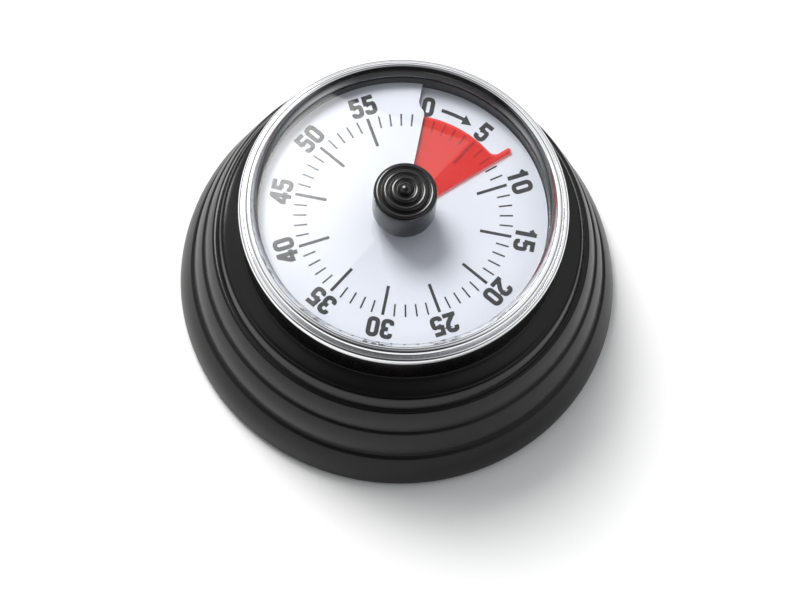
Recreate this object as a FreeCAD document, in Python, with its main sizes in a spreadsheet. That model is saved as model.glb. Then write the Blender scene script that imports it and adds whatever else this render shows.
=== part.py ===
import FreeCAD, Part
import math
import os
import re

from Sketcher import Constraint

# A sixty-minute mechanical kitchen timer.  Everything is in millimetres, +Z is up, and the
# origin is the middle of the face that rests on the table.  Minute 0 of the dial points along +Y
# and the minutes run clockwise seen from above.

doc = FreeCAD.newDocument("KitchenTimer")
sheet = doc.addObject("Spreadsheet::Sheet", "Sizes")
Vector = FreeCAD.Vector
UP = Vector(0, 0, 1)

# Sizes that can be set by themselves.  They are the cells of the sheet.
SIZES = {
    # gear train: modules, tooth counts and tooth form (tooth heights are in modules)
    "main_module": 0.4,
    "second_module": 0.35,
    "third_module": 0.3,
    "main_teeth": 60,
    "second_teeth": 48,
    "third_teeth": 48,
    "pinion_leaves": 8,
    "pressure_angle": 25,
    "wheel_addendum": 0.7,
    "leaf_addendum": 0.9,
    "root_clearance": 0.3,
    "tooth_play": 0.08,
    "escape_teeth": 15,
    "escape_tip": 4.5,
    "escape_tooth_depth": 1.3,
    "escape_lean": 0.2,
    "star_teeth": 12,
    "star_tip": 3.2,
    "star_tooth_depth": 0.7,
    "star_lean": 0.5,
    "pinion_overlap": 0.3,
    "main_crossings": 5,
    "main_crossing_size": 0.16,
    "main_crossing_place": 0.68,
    "wheel_crossings": 4,
    "wheel_crossing_size": 0.21,
    "wheel_crossing_place": 0.58,
    # where the arbors stand on the plan
    "second_angle": 20,
    "third_set_out": 2.22,
    "escape_set_out": 4.72,
    "anchor_set_out": 2.72,
    "hammer_set_out": 2.72,
    "trip_set_out": 1.72,
    "trip_angle": 290,
    "anchor_apart": 6.4,
    "hammer_apart": 9.8,
    # thicknesses and gaps of the movement, from the back plate up
    "plate_thickness": 1.0,
    "plate_margin": 0.31,
    "spring_gap": 0.5,
    "spring_width": 3.4,
    "spring_post_cap": 0.3,
    "level_gap": 0.5,
    "main_wheel_thickness": 0.9,
    "ratchet_thickness": 0.9,
    "second_wheel_thickness": 0.8,
    "third_wheel_thickness": 0.7,
    "escape_wheel_thickness": 0.6,
    "star_thickness": 0.8,
    "cam_thickness": 0.9,
    "lever_thickness": 0.8,
    "front_room": 2.0,
    # arbors, pivots and their fits
    "arbor_body": 1.9,
    "arbor_journal": 1.5,
    "arbor_pivot": 0.9,
    "arbor_flat": 1.05,
    "train_arbor": 0.7,
    "train_pivot": 0.45,
    "running_fit": 0.05,
    "seat_fit": 0.02,
    "bush_wall": 1.3,
    "end_shake": 0.1,
    # pillars and screws
    "pillar_body": 1.2,
    "pillar_set_in": 3.8,
    "screw_shank": 0.6,
    "screw_head": 1.4,
    "screw_head_height": 0.8,
    "screw_reach": 2.4,
    "slot_width": 0.35,
    "slot_depth": 0.3,
    "plate_screw_set_in": 1.1,
    "plate_screw_shank": 0.5,
    "plate_screw_head": 0.9,
    "plate_screw_head_height": 0.5,
    "screw_end_gap": 0.1,
    # mainspring
    "spring_strip": 0.3,
    "spring_inner": 2.3,
    "spring_half_turns": 15,
    "spring_half_pitch": 0.5,
    "spring_post": 0.8,
    # ratchet, click, cam, levers
    "ratchet_tip": 4.2,
    "ratchet_teeth": 14,
    "ratchet_tooth_depth": 0.6,
    "ratchet_lean": 0.15,
    "ratchet_turn": 4,
    "click_gap": 0.05,
    "click_pivot_radius": 7.3,
    "click_pivot_angle": 200,
    "click_nose_angle": 233,
    "click_nose": 0.35,
    "click_width": 0.7,
    "click_pin": 0.6,
    "click_pin_head": 0.15,
    "click_spring_angle": 242,
    "click_spring_reach": 21,
    "click_spring_set_out": 1.2,
    "click_spring_set_in": 0.7,
    "click_spring_foot": 0.5,
    "click_spring_wire": 0.2,
    "click_spring_lift": 0.1,
    "click_spring_height": 0.4,
    "cam_tip": 5.0,
    "cam_notch": 1.4,
    "nose_gap": 0.3,
    "nose_angle": 250,
    "lever_width": 1.3,
    "lever_taper": 0.8,
    "lever_boss": 1.2,
    "finger_width": 0.78,
    "finger_reach": 0.8,
    "finger_set_off": 1.2,
    "trip_catch_reach": 0.5,
    "pallet_pin": 0.25,
    "pallet_gap": 0.28,
    "pallet_spread": 38,
    "pallet_pin_drop": 0.2,
    "hammer_head": 1.3,
    "hammer_head_drop": 1.2,
    "hammer_head_stand": 0.2,
    "hammer_arm": 9.0,
    "strike_gap": 0.35,
    "tail_gap": 0.3,
    # bell
    "bell_radius": 19.0,
    "bell_wall": 0.6,
    "bell_depth": 3.8,
    "bell_curve": 4.0,
    "bell_x": -6.3,
    "bell_y": -2.0,
    "bell_post": 1.6,
    "bell_screw_head": 2.0,
    "bell_hang": 4.3,
    # back cover, foot, magnets
    "foot_gap": 0.5,
    "foot_height": 1.0,
    "foot_inner": 24.5,
    "foot_width": 2.5,
    "cover_thickness": 1.5,
    "cover_gap": 0.3,
    "bell_room": 6.5,
    "magnet_count": 3,
    "magnet_radius": 4.0,
    "magnet_height": 2.0,
    "magnet_circle": 17.0,
    "magnet_floor": 0.4,
    "magnet_wall": 1.0,
    "cover_screw_shank": 0.9,
    "cover_screw_head": 1.7,
    "cover_screw_head_height": 0.8,
    "cover_screw_length": 6.5,
    "cover_post": 1.9,
    "cover_post_gap": 2.2,
    "cover_post_height": 9.0,
    # dial carrier, dial and red disc
    "carrier_gap": 0.3,
    "carrier_wall": 1.3,
    "carrier_flange": 3.3,
    "carrier_flange_thickness": 1.0,
    "seat_width": 1.9,
    "seat_height": 1.0,
    "seat_chamfer": 0.4,
    "lug_thickness": 1.0,
    "lug_width": 2.0,
    "film_room": 2.5,
    "dial_gap": 0.15,
    "dial_thickness": 0.3,
    "dial_pitch": 1.2,
    "dial_rise": 1.2,
    "dial_hole": 3.75,
    "rim_width": 1.55,
    "slit_bend_start": 17.3,
    "slit_step": 1.2,
    "slit_bend_run": 2.4,
    "film_thickness": 0.2,
    "film_outer": 17.5,
    "film_span": 354,
    "film_setting": 45.9,
    "hub_outer": 3.0,
    "hub_height": 1.6,
    "tab_tip": 20.5,
    "tab_width": 0.8,
    "tab_fillet": 1.2,
    # lens and bezel
    "lens_rise": 3.9,
    "lens_thickness": 0.9,
    "lens_gap": 0.2,
    "lens_hole": 2.0,
    "lip_inner": 22.85,
    "lip_set_in": 0.05,
    "bezel_crown": 1.6,
    "bezel_wall": 0.45,
    "bezel_seat": 0.15,
    "bezel_skirt": 0.6,
    "bead_width": 0.65,
    "bead_height": 0.4,
    "bead_curve": 0.68,
    "bezel_groove": 0.2,
    "bezel_groove_width": 0.25,
    "crown_flank": 0.6,
    "crown_edge": 1.2,
    "crown_flat": 0.3,
    "crown_fall": 0.13,
    "crown_curve": 0.9,
    "slope_curve": 4.8,
    "lip_height": 0.18,
    "lip_width": 0.15,
    "lip_rise": 0.32,
    # housing
    "shell_wall": 1.3,
    "collar_wall": 1.1,
    "collar_gap": 0.2,
    "collar_rabbet": 0.45,
    "collar_fillet": 0.4,
    "ledge_width": 3.65,
    "ring_round": 0.9,
    "ledge_slope": 0.9,
    "ring_height": 1.6,
    "band_step": 1.95,
    "band_second_step": 1.6,
    "band_base_step": 2.3,
    "band_lean": 1.15,
    "band_curve": 12.0,
    "base_lean": 1.75,
    "groove_depth": 0.1,
    "groove_height": 0.45,
    "rim_height": 0.4,
    "rim_round": 0.6,
    "base_band": 6.7,
    "lower_band": 6.2,
    "upper_band": 4.95,
    "boss_length": 3.0,
    "boss_radius": 1.5,
    # knob
    "knob_radius": 5.0,
    "knob_gap": 0.2,
    "knob_height": 6.05,
    "knob_bore_depth": 5.0,
    "ridge_pitch": 1.22,
    "ridge_rise": 0.38,
    "ridge_curve": 0.69,
    "dome_rise": 0.85,
}

# Sizes that follow from the ones above.
DERIVED = {
    # gear train on the plan
    "main_tip": "main_module * (main_teeth / 2 + wheel_addendum)",
    "second_tip": "second_module * (second_teeth / 2 + wheel_addendum)",
    "second_radius": "main_module * (main_teeth + pinion_leaves) / 2",
    "third_apart": "second_module * (second_teeth + pinion_leaves) / 2",
    "escape_apart": "third_module * (third_teeth + pinion_leaves) / 2",
    "third_radius": "main_tip + third_set_out",
    "escape_radius": "main_tip + escape_set_out",
    "anchor_radius": "main_tip + anchor_set_out",
    "hammer_radius": "main_tip + hammer_set_out",
    "trip_radius": "main_tip + trip_set_out",
    # heights of the movement
    "cover_top": "foot_gap + cover_thickness",
    "back_bottom": "cover_top + bell_room",
    "back_top": "back_bottom + plate_thickness",
    "spring_bottom": "back_top + spring_gap",
    "spring_top": "spring_bottom + spring_width",
    "main_bottom": "spring_top + spring_post_cap + level_gap",
    "main_top": "main_bottom + main_wheel_thickness",
    "ratchet_top": "main_top + ratchet_thickness",
    "second_bottom": "ratchet_top + level_gap",
    "second_top": "second_bottom + second_wheel_thickness",
    "third_bottom": "second_top + level_gap",
    "third_top": "third_bottom + third_wheel_thickness",
    "front_bottom": "third_top + front_room",
    "front_top": "front_bottom + plate_thickness",
    "star_bottom": "back_top + 3 * level_gap",
    "escape_bottom": "back_top + 4 * level_gap",
    "escape_top": "escape_bottom + escape_wheel_thickness",
    "anchor_bottom": "escape_top + level_gap",
    "arm_bottom": "back_bottom - 2 * level_gap - lever_thickness",
    # plates, pillars, carrier
    "plate_radius": "second_radius + second_tip + plate_margin",
    "pillar_radius": "plate_radius - pillar_set_in",
    "plate_screw_circle": "plate_radius - plate_screw_set_in",
    "carrier_bore": "plate_radius + carrier_gap",
    "carrier_outer": "carrier_bore + carrier_wall",
    "dial_radius": "carrier_bore - dial_gap",
    "rim_inner": "dial_radius - rim_width",
    "lug_top": "front_top + lug_thickness",
    "dial_seat": "lug_top + film_room",
    "dial_start": "dial_seat + dial_rise",
    "lens_bottom": "dial_seat + lens_rise",
    "lens_top": "lens_bottom + lens_thickness",
    # housing
    "collar_bore": "carrier_outer + collar_gap",
    "collar_radius": "collar_bore + collar_wall",
    "lens_radius": "collar_bore - lens_gap",
    "ring_radius": "collar_radius + ledge_width",
    "upper_radius": "ring_radius + band_step",
    "lower_radius": "upper_radius + band_second_step",
    "base_radius": "lower_radius + band_base_step",
    "base_top": "rim_height + base_band",
    "lower_bottom": "base_top + groove_height",
    "lower_top": "lower_bottom + lower_band - groove_height",
    "upper_bottom": "lower_top + groove_height",
    "upper_top": "upper_bottom + upper_band - groove_height",
    "ring_bottom": "upper_top + groove_height",
    "ring_top": "ring_bottom + ring_height",
    "ledge_edge": "ring_top + ring_round",
    "ledge_height": "ledge_edge + ledge_slope",
    "ledge_under": "ledge_edge - shell_wall + ledge_slope / 2",
    "collar_top": "lens_top - bezel_wall - bezel_seat",
    "skirt_bottom": "collar_top - bezel_skirt",
    "rabbet_radius": "collar_radius - collar_rabbet",
    "bezel_outer": "collar_radius + bezel_wall",
    "flange_top": "ledge_under - boss_length",
    "flange_bottom": "flange_top - carrier_flange_thickness",
    "flange_outer": "carrier_outer + carrier_flange",
    "boss_circle": "collar_bore + boss_radius",
    "post_circle": "flange_outer + cover_post_gap",
    "cover_radius": "base_radius - shell_wall - cover_gap",
    # knob
    "knob_bottom": "lens_top + knob_gap",
    "knob_shoulder": "knob_bottom + knob_height",
    "arbor_top": "knob_bottom + knob_bore_depth - seat_fit",
    # bell
    "bell_bottom": "back_bottom - bell_hang - bell_wall",
    "strike_radius": "bell_radius + hammer_head + strike_gap",
}

COVER_POST_ANGLES = (90, 210, 330)
CARRIER_BOSS_ANGLES = (30, 150, 270)
PILLAR_ANGLES = (145, 215, 285, 325)
PLATE_SCREW_ANGLES = (5, 125, 245)

PARTS = {}


def fill_sheet():
    """Write the driving sizes into the sheet, each with its alias."""
    for row, (name, value) in enumerate(SIZES.items(), start=1):
        sheet.set(f"A{row}", name)
        sheet.set(f"B{row}", str(value))
        sheet.setAlias(f"B{row}", name)
    doc.recompute()


def bound(text):
    """An expression over the sheet's cells, from one that names sizes."""

    def cell(match):
        word = match.group(0)
        if word in SIZES:
            return "Sizes." + word
        if word in DERIVED:
            return "(" + bound(DERIVED[word]) + ")"
        return word

    return re.sub(r"\b[a-z]\w*", cell, text)


def number(text):
    """The present value of an expression that names sizes."""
    return float(sheet.evalExpression(bound(text)))


def bind(thing, path, text):
    thing.setExpression(path, bound(text))


def part(label, thing):
    """Name a finished sub-part.  Its label also names its file."""
    thing.Label = label
    PARTS[label] = thing
    return thing


def place(thing, x="0", y="0", z="0"):
    for axis, text in zip("xyz", (x, y, z)):
        if text != "0":
            bind(thing, f"Placement.Base.{axis}", text)
    return thing


def polar(radius, angle):
    """A place on the plan, as two expressions, from a radius and an angle in degrees."""
    return (f"({radius}) * cos(({angle}) * 1deg)", f"({radius}) * sin(({angle}) * 1deg)")


def follow(angle, near, far, apart, side=1):
    """The plan angle of an arbor at radius far that stands a set distance from one at radius near."""
    turn = f"acos((({near})^2 + ({far})^2 - ({apart})^2) / (2 * ({near}) * ({far})))"
    return f"({angle}) {'+' if side > 0 else '-'} {turn} / 1deg"


# --- Sketches and solids ----------------------------------------------------------------------


def origin_plane(body, role):
    return next(item for item in body.Origin.OriginFeatures if item.Role == role)


def start_sketch(body, name, role):
    sketch = body.newObject("Sketcher::SketchObject", name)
    sketch.AttachmentSupport = [(origin_plane(body, role), "")]
    sketch.MapMode = "FlatFace"
    return sketch


def arc_middle(start, end, radius, side):
    """The middle point of the shorter arc between two points, which bulges left (1) or right (-1)."""
    chord = end - start
    sagitta = radius - math.sqrt(max(radius**2 - chord.Length**2 / 4, 0))
    across = Vector(-chord.y, chord.x, 0).normalize()
    return (start + end) * 0.5 + across * sagitta * side


def draw_outline(sketch, corners):
    """A closed outline.  A corner is (x, y), or (x, y, radius, side) where an arc leads to it."""
    spots = [Vector(number(c[0]), number(c[1]), 0) for c in corners]
    ends = []
    for index, corner in enumerate(corners):
        start, end = spots[index - 1], spots[index]
        if len(corner) == 2:
            line = sketch.addGeometry(Part.LineSegment(start, end), False)
            ends.append((line, 1, 2))
            continue
        middle = arc_middle(start, end, number(corner[2]), corner[3])
        anticlockwise = (middle - start).cross(end - middle).z > 0
        first, last = (start, end) if anticlockwise else (end, start)
        arc = sketch.addGeometry(Part.ArcOfCircle(first, middle, last), False)
        ends.append((arc, 1, 2) if anticlockwise else (arc, 2, 1))
        radius = sketch.addConstraint(Constraint("Radius", arc, number(corner[2])))
        bind(sketch, f"Constraints[{radius}]", corner[2])
    for index, corner in enumerate(corners):
        edge, _, last = ends[index]
        following, first, _ = ends[(index + 1) % len(ends)]
        sketch.addConstraint(Constraint("Coincident", edge, last, following, first))
        for kind, text, axis in (("DistanceX", corner[0], -2), ("DistanceY", corner[1], -1)):
            if text == "0":
                sketch.addConstraint(Constraint("PointOnObject", edge, last, axis))
                continue
            size = Constraint(kind, -1, 1, edge, last, number(text))
            bind(sketch, f"Constraints[{sketch.addConstraint(size)}]", text)


def draw_circle(sketch, radius, x="0", y="0"):
    middle = Vector(number(x), number(y), 0)
    circle = sketch.addGeometry(Part.Circle(middle, UP, number(radius)), False)
    size = sketch.addConstraint(Constraint("Radius", circle, number(radius)))
    bind(sketch, f"Constraints[{size}]", radius)
    for kind, text, axis in (("DistanceX", x, -2), ("DistanceY", y, -1)):
        if text == "0":
            sketch.addConstraint(Constraint("PointOnObject", circle, 3, axis))
            continue
        place_size = Constraint(kind, -1, 1, circle, 3, number(text))
        bind(sketch, f"Constraints[{sketch.addConstraint(place_size)}]", text)


def turned(name, corners):
    """A body turned about the Z axis from its half outline in radius and height."""
    body = doc.addObject("PartDesign::Body", name)
    sketch = start_sketch(body, name + "_outline", "XZ_Plane")
    draw_outline(sketch, corners)
    turning = body.newObject("PartDesign::Revolution", name + "_turning")
    turning.Profile = sketch
    turning.ReferenceAxis = (sketch, ["V_Axis"])
    turning.Angle = 360
    return body


def punched(name, radius, bottom, thickness, holes):
    """A round flat plate with round holes, each (radius, x, y)."""
    body = doc.addObject("PartDesign::Body", name)
    sketch = start_sketch(body, name + "_outline", "XY_Plane")
    draw_circle(sketch, radius)
    for hole in holes:
        draw_circle(sketch, *hole)
    pad = body.newObject("PartDesign::Pad", name + "_pad")
    pad.Profile = sketch
    bind(pad, "Length", thickness)
    return place(body, z=bottom)


def rod(name, radius, bottom, height, x="0", y="0"):
    cylinder = doc.addObject("Part::Cylinder", name)
    bind(cylinder, "Radius", radius)
    bind(cylinder, "Height", height)
    return place(cylinder, x, y, bottom)


def block(name, length, width, height, x, y, z):
    box = doc.addObject("Part::Box", name)
    for side, text in (("Length", length), ("Width", width), ("Height", height)):
        bind(box, side, text)
    return place(box, x, y, z)


def bar(name, start, end, width, bottom, thickness):
    """A straight flat bar between two places on the plan, with square ends."""
    run_x = f"(({end[0]}) - ({start[0]}))"
    run_y = f"(({end[1]}) - ({start[1]}))"
    angle = f"atan2({run_y}; {run_x})"
    box = doc.addObject("Part::Box", name)
    box.Placement.Rotation = FreeCAD.Rotation(UP, 1)
    bind(box, "Length", f"sqrt({run_x}^2 + {run_y}^2)")
    bind(box, "Width", width)
    bind(box, "Height", thickness)
    bind(box, "Placement.Rotation.Angle", angle)
    corner_x = f"({start[0]}) + sin({angle}) * ({width}) / 2"
    corner_y = f"({start[1]}) - cos({angle}) * ({width}) / 2"
    return place(box, corner_x, corner_y, bottom)


def fused(name, things):
    whole = doc.addObject("Part::MultiFuse", name)
    whole.Shapes = things
    return whole


def cut(name, base, tool):
    rest = doc.addObject("Part::Cut", name)
    rest.Base = base
    rest.Tool = tool
    return rest


def grouped(name, things):
    """Several identical pieces that stay separate solids."""
    group = doc.addObject("Part::Compound", name)
    group.Links = things
    return group


def shaped(name, shape):
    """A piece whose form is worked out here, from the sheet's sizes."""
    feature = doc.addObject("Part::Feature", name)
    where = shape.Placement
    feature.Shape = shape
    feature.Placement = where
    return feature


# --- Where the arbors stand -------------------------------------------------------------------

THIRD_ANGLE = follow("second_angle", "second_radius", "third_radius", "third_apart")
ESCAPE_ANGLE = follow(THIRD_ANGLE, "third_radius", "escape_radius", "escape_apart")
ANCHOR_ANGLE = follow(ESCAPE_ANGLE, "escape_radius", "anchor_radius", "anchor_apart")
HAMMER_ANGLE = follow("second_angle", "second_radius", "hammer_radius", "hammer_apart", -1)
ARBORS = {
    "second": polar("second_radius", "second_angle"),
    "third": polar("third_radius", THIRD_ANGLE),
    "escape": polar("escape_radius", ESCAPE_ANGLE),
    "anchor": polar("anchor_radius", ANCHOR_ANGLE),
    "hammer": polar("hammer_radius", HAMMER_ANGLE),
    "trip": polar("trip_radius", "trip_angle"),
}


def spot(name):
    """An arbor's place on the plan as numbers."""
    return Vector(number(ARBORS[name][0]), number(ARBORS[name][1]), 0)


# --- Case -------------------------------------------------------------------------------------


def make_housing():
    """Black moulded shell: three stepped bands, a ring and a plain collar, with screw posts inside."""
    band = ("band_curve", -1)
    shell = turned(
        "housing_shell",
        [
            ("base_radius - shell_wall", "rim_height"),
            ("base_radius - rim_round", "rim_height"),
            ("base_radius", "rim_height + rim_round", "rim_round", -1),
            ("base_radius - base_lean", "base_top", *band),
            ("lower_radius - groove_depth", "base_top + groove_height / 2"),
            ("lower_radius", "lower_bottom"),
            ("lower_radius - band_lean", "lower_top", *band),
            ("upper_radius - groove_depth", "lower_top + groove_height / 2"),
            ("upper_radius", "upper_bottom"),
            ("upper_radius - band_lean", "upper_top", *band),
            ("ring_radius - groove_depth", "upper_top + groove_height / 2"),
            ("ring_radius", "ring_bottom"),
            ("ring_radius - band_lean / 3", "ring_top"),
            ("ring_radius - band_lean / 3 - ring_round", "ledge_edge", "ring_round", -1),
            ("collar_radius + collar_fillet", "ledge_height"),
            ("collar_radius", "ledge_height + collar_fillet", "collar_fillet", 1),
            ("collar_radius", "skirt_bottom"),
            ("rabbet_radius", "skirt_bottom"),
            ("rabbet_radius", "collar_top"),
            ("collar_bore", "collar_top"),
            ("collar_bore", "ledge_under"),
            ("ring_radius - shell_wall - band_lean / 3", "ledge_under"),
            ("ring_radius - shell_wall", "upper_top"),
            ("upper_radius - shell_wall", "lower_top"),
            ("lower_radius - shell_wall", "base_top"),
            ("base_radius - shell_wall", "cover_top + cover_gap"),
        ],
    )
    solids = [shell]
    bores = []
    for angle in COVER_POST_ANGLES:
        spot_on_plan = polar("post_circle", angle)
        solids.append(rod(f"cover_post_{angle}", "cover_post", "cover_top", "cover_post_height",
                          *spot_on_plan))
        bores.append(rod(f"cover_post_bore_{angle}", "cover_screw_shank", "cover_top",
                         "cover_screw_length - cover_thickness + cover_screw_head_height",
                         *spot_on_plan))
    for angle in CARRIER_BOSS_ANGLES:
        spot_on_plan = polar("boss_circle", angle)
        solids.append(rod(f"carrier_boss_{angle}", "boss_radius", "flange_top",
                          "boss_length + shell_wall / 2", *spot_on_plan))
        bores.append(rod(f"carrier_boss_bore_{angle}", "screw_shank", "flange_top", "screw_reach",
                         *spot_on_plan))
    whole = fused("housing_with_posts", solids)
    part("housing", cut("housing", whole, fused("housing_bores", bores)))


def make_bezel():
    """Chromed ring pressed over the collar's top: a bead below, a crown above, a lip on the lens."""
    part(
        "bezel",
        turned(
            "bezel",
            [
                ("lip_inner + lip_set_in", "lens_top"),
                ("collar_bore - lens_gap / 2", "lens_top"),
                ("collar_bore - lens_gap / 2", "collar_top + seat_fit"),
                ("rabbet_radius + seat_fit", "collar_top + seat_fit"),
                ("rabbet_radius + seat_fit", "skirt_bottom + seat_fit"),
                ("bezel_outer", "skirt_bottom + seat_fit"),
                ("bezel_outer", "lens_top - bead_height / 2"),
                ("bezel_outer - bead_width", "lens_top + bead_height", "bead_curve", -1),
                ("bezel_outer - bead_width - bezel_groove_width", "lens_top + bezel_groove"),
                ("bezel_outer - bead_width - bezel_groove_width", "lens_top + crown_flank"),
                ("collar_radius - crown_edge", "lens_top + bezel_crown", "crown_curve", -1),
                ("collar_radius - crown_edge - crown_flat", "lens_top + bezel_crown - crown_fall",
                 "crown_curve", -1),
                ("lip_inner + lip_width", "lens_top + lip_rise", "slope_curve", 1),
                ("lip_inner", "lens_top + lip_height"),
            ],
        ),
    )


def make_lens():
    part(
        "lens",
        punched("lens", "lens_radius", "lens_bottom", "lens_thickness", [("lens_hole",)]),
    )


def make_dial_carrier():
    """Black tube inside the collar: flange below, screw ring, dial seat, lens seat on top."""
    tube = turned(
        "carrier_tube",
        [
            ("carrier_bore", "flange_bottom"),
            ("flange_outer", "flange_bottom"),
            ("flange_outer", "flange_top"),
            ("carrier_outer", "flange_top"),
            ("carrier_outer", "lens_bottom"),
            ("carrier_bore", "lens_bottom"),
            ("carrier_bore", "dial_seat"),
            ("carrier_bore - seat_width", "dial_seat"),
            ("carrier_bore - seat_width", "dial_seat - seat_height"),
            ("carrier_bore", "dial_seat - seat_height - seat_chamfer"),
            ("carrier_bore", "lug_top"),
            ("carrier_bore - lug_width", "lug_top"),
            ("carrier_bore - lug_width", "front_top"),
            ("carrier_bore", "front_top"),
        ],
    )
    holes = []
    for angle in CARRIER_BOSS_ANGLES:
        holes.append(rod(f"flange_hole_{angle}", "screw_shank + running_fit", "flange_bottom",
                         "carrier_flange_thickness", *polar("boss_circle", angle)))
    for angle in PLATE_SCREW_ANGLES:
        holes.append(rod(f"lug_hole_{angle}", "plate_screw_shank", "front_top", "lug_thickness",
                         *polar("plate_screw_circle", angle)))
    part("dial_carrier", cut("dial_carrier", tube, fused("carrier_holes", holes)))


def make_back_cover():
    """Flat black cover with magnet cups inside, a groove for the foot ring and sunk screw holes."""
    disc = punched("cover_disc", "cover_radius", "foot_gap", "cover_thickness", [])
    cups = [disc]
    tools = [
        cut(
            "foot_groove",
            rod("foot_groove_outer", "foot_inner + foot_width + running_fit", "0 * foot_gap",
                "foot_height"),
            rod("foot_groove_inner", "foot_inner - running_fit", "0 * foot_gap", "foot_height"),
        )
    ]
    for index in range(int(SIZES["magnet_count"])):
        place_on_plan = polar("magnet_circle", f"30 + {index} * 360 / magnet_count")
        cups.append(rod(f"magnet_cup_{index}", "magnet_radius + magnet_wall", "cover_top",
                        "magnet_height + magnet_floor - cover_thickness", *place_on_plan))
        tools.append(rod(f"magnet_pocket_{index}", "magnet_radius + seat_fit",
                         "foot_gap + magnet_floor", "magnet_height + cover_thickness",
                         *place_on_plan))
    for angle in COVER_POST_ANGLES:
        place_on_plan = polar("post_circle", angle)
        tools.append(rod(f"cover_hole_{angle}", "cover_screw_shank + running_fit", "foot_gap",
                         "cover_thickness", *place_on_plan))
        tools.append(rod(f"cover_recess_{angle}", "cover_screw_head + running_fit", "foot_gap",
                         "cover_screw_head_height", *place_on_plan))
    part("back_cover", cut("back_cover", fused("cover_with_cups", cups),
                           fused("cover_cuts", tools)))


def make_foot_ring():
    part(
        "foot_ring",
        turned(
            "foot_ring",
            [
                ("foot_inner", "0"),
                ("foot_inner + foot_width", "0"),
                ("foot_inner + foot_width", "foot_height"),
                ("foot_inner", "foot_height"),
            ],
        ),
    )


def make_magnets():
    discs = []
    for index in range(int(SIZES["magnet_count"])):
        place_on_plan = polar("magnet_circle", f"30 + {index} * 360 / magnet_count")
        discs.append(rod(f"magnet_{index}", "magnet_radius", "foot_gap + magnet_floor",
                         "magnet_height", *place_on_plan))
    part("magnets", grouped("magnets", discs))


def screw(name, seat, shank, length, head, head_height, spot_on_plan, upward):
    """A slotted cheese-head screw.  Its head's seat is at a height; its shank runs up or down."""
    shank_bottom = seat if upward else f"{seat} - ({length})"
    head_bottom = f"{seat} - ({head_height})" if upward else seat
    slot_bottom = head_bottom if upward else f"{seat} + ({head_height}) - slot_depth"
    body = fused(
        name + "_body",
        [
            rod(name + "_shank", shank, shank_bottom, length, *spot_on_plan),
            rod(name + "_head", head, head_bottom, head_height, *spot_on_plan),
        ],
    )
    slot = block(
        name + "_slot",
        f"2 * {head}",
        "slot_width",
        "slot_depth",
        f"{spot_on_plan[0]} - {head}",
        f"{spot_on_plan[1]} - slot_width / 2",
        slot_bottom,
    )
    return cut(name, body, slot)


def make_case_screws():
    part(
        "cover_screws",
        grouped(
            "cover_screws",
            [
                screw(f"cover_screw_{angle}", "(foot_gap + cover_screw_head_height)",
                      "cover_screw_shank - seat_fit", "cover_screw_length", "cover_screw_head",
                      "cover_screw_head_height", polar("post_circle", angle), True)
                for angle in COVER_POST_ANGLES
            ],
        ),
    )
    part(
        "carrier_screws",
        grouped(
            "carrier_screws",
            [
                screw(f"carrier_screw_{angle}", "flange_bottom", "screw_shank - seat_fit",
                      "screw_reach + carrier_flange_thickness - screw_end_gap", "screw_head",
                      "screw_head_height", polar("boss_circle", angle), True)
                for angle in CARRIER_BOSS_ANGLES
            ],
        ),
    )
    part(
        "plate_screws",
        grouped(
            "plate_screws",
            [
                screw(f"plate_screw_{angle}", "front_bottom", "plate_screw_shank - seat_fit",
                      "plate_thickness + lug_thickness", "plate_screw_head",
                      "plate_screw_head_height", polar("plate_screw_circle", angle), True)
                for angle in PLATE_SCREW_ANGLES
            ],
        ),
    )


# --- Dial, red disc and knob ------------------------------------------------------------------


def helical_sheet(inner, outer, low, high, start_height, first, last):
    """A sheet between two radii that climbs one dial_pitch a turn, clockwise, between two minutes'
    angles.  At angle 0, which is +Y, it spans start_height + low to start_height + high."""
    pitch = number("dial_pitch")
    middle = (inner + outer) / 2
    rise = pitch * (last - first) / 360
    left_handed = True
    spine = Part.makeHelix(pitch, rise, middle, 0, left_handed)
    section = Part.makePolygon(
        [
            Vector(inner, 0, low),
            Vector(outer, 0, low),
            Vector(outer, 0, high),
            Vector(inner, 0, high),
            Vector(inner, 0, low),
        ]
    )
    sheet_solid = Part.Wire(spine.Edges).makePipeShell([section], True, True)
    sheet_solid.rotate(Vector(), UP, 90 - first)
    sheet_solid.translate(Vector(0, 0, start_height + pitch * first / 360))
    return sheet_solid


def slit_gusset():
    """The strip of the plan between the dial's straight radius at 0 and its slit, which bends
    away to the left outside the minute marks, as a prism through the dial's whole height."""
    start = number("slit_bend_start")
    step = number("slit_step")
    run = number("slit_bend_run")
    curve = (run**2 + step**2) / (4 * step)
    beyond = number("dial_radius") + 1
    turn_in = Vector(0, start, 0)
    turn_mid = Vector(-step / 2, start + run / 2, 0)
    turn_out = Vector(-step, start + run, 0)
    lower = Part.Arc(turn_in, arc_middle(turn_in, turn_mid, curve, -1), turn_mid)
    upper = Part.Arc(turn_mid, arc_middle(turn_mid, turn_out, curve, 1), turn_out)
    far_left = Vector(-step, beyond, 0)
    far_right = Vector(0, beyond, 0)
    outline = Part.Wire(
        [
            lower.toShape(),
            upper.toShape(),
            Part.makeLine(turn_out, far_left),
            Part.makeLine(far_left, far_right),
            Part.makeLine(far_right, turn_in),
        ]
    )
    prism = Part.Face(outline).extrude(Vector(0, 0, 10))
    prism.translate(Vector(0, 0, number("dial_seat") - 2))
    return prism


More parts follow.
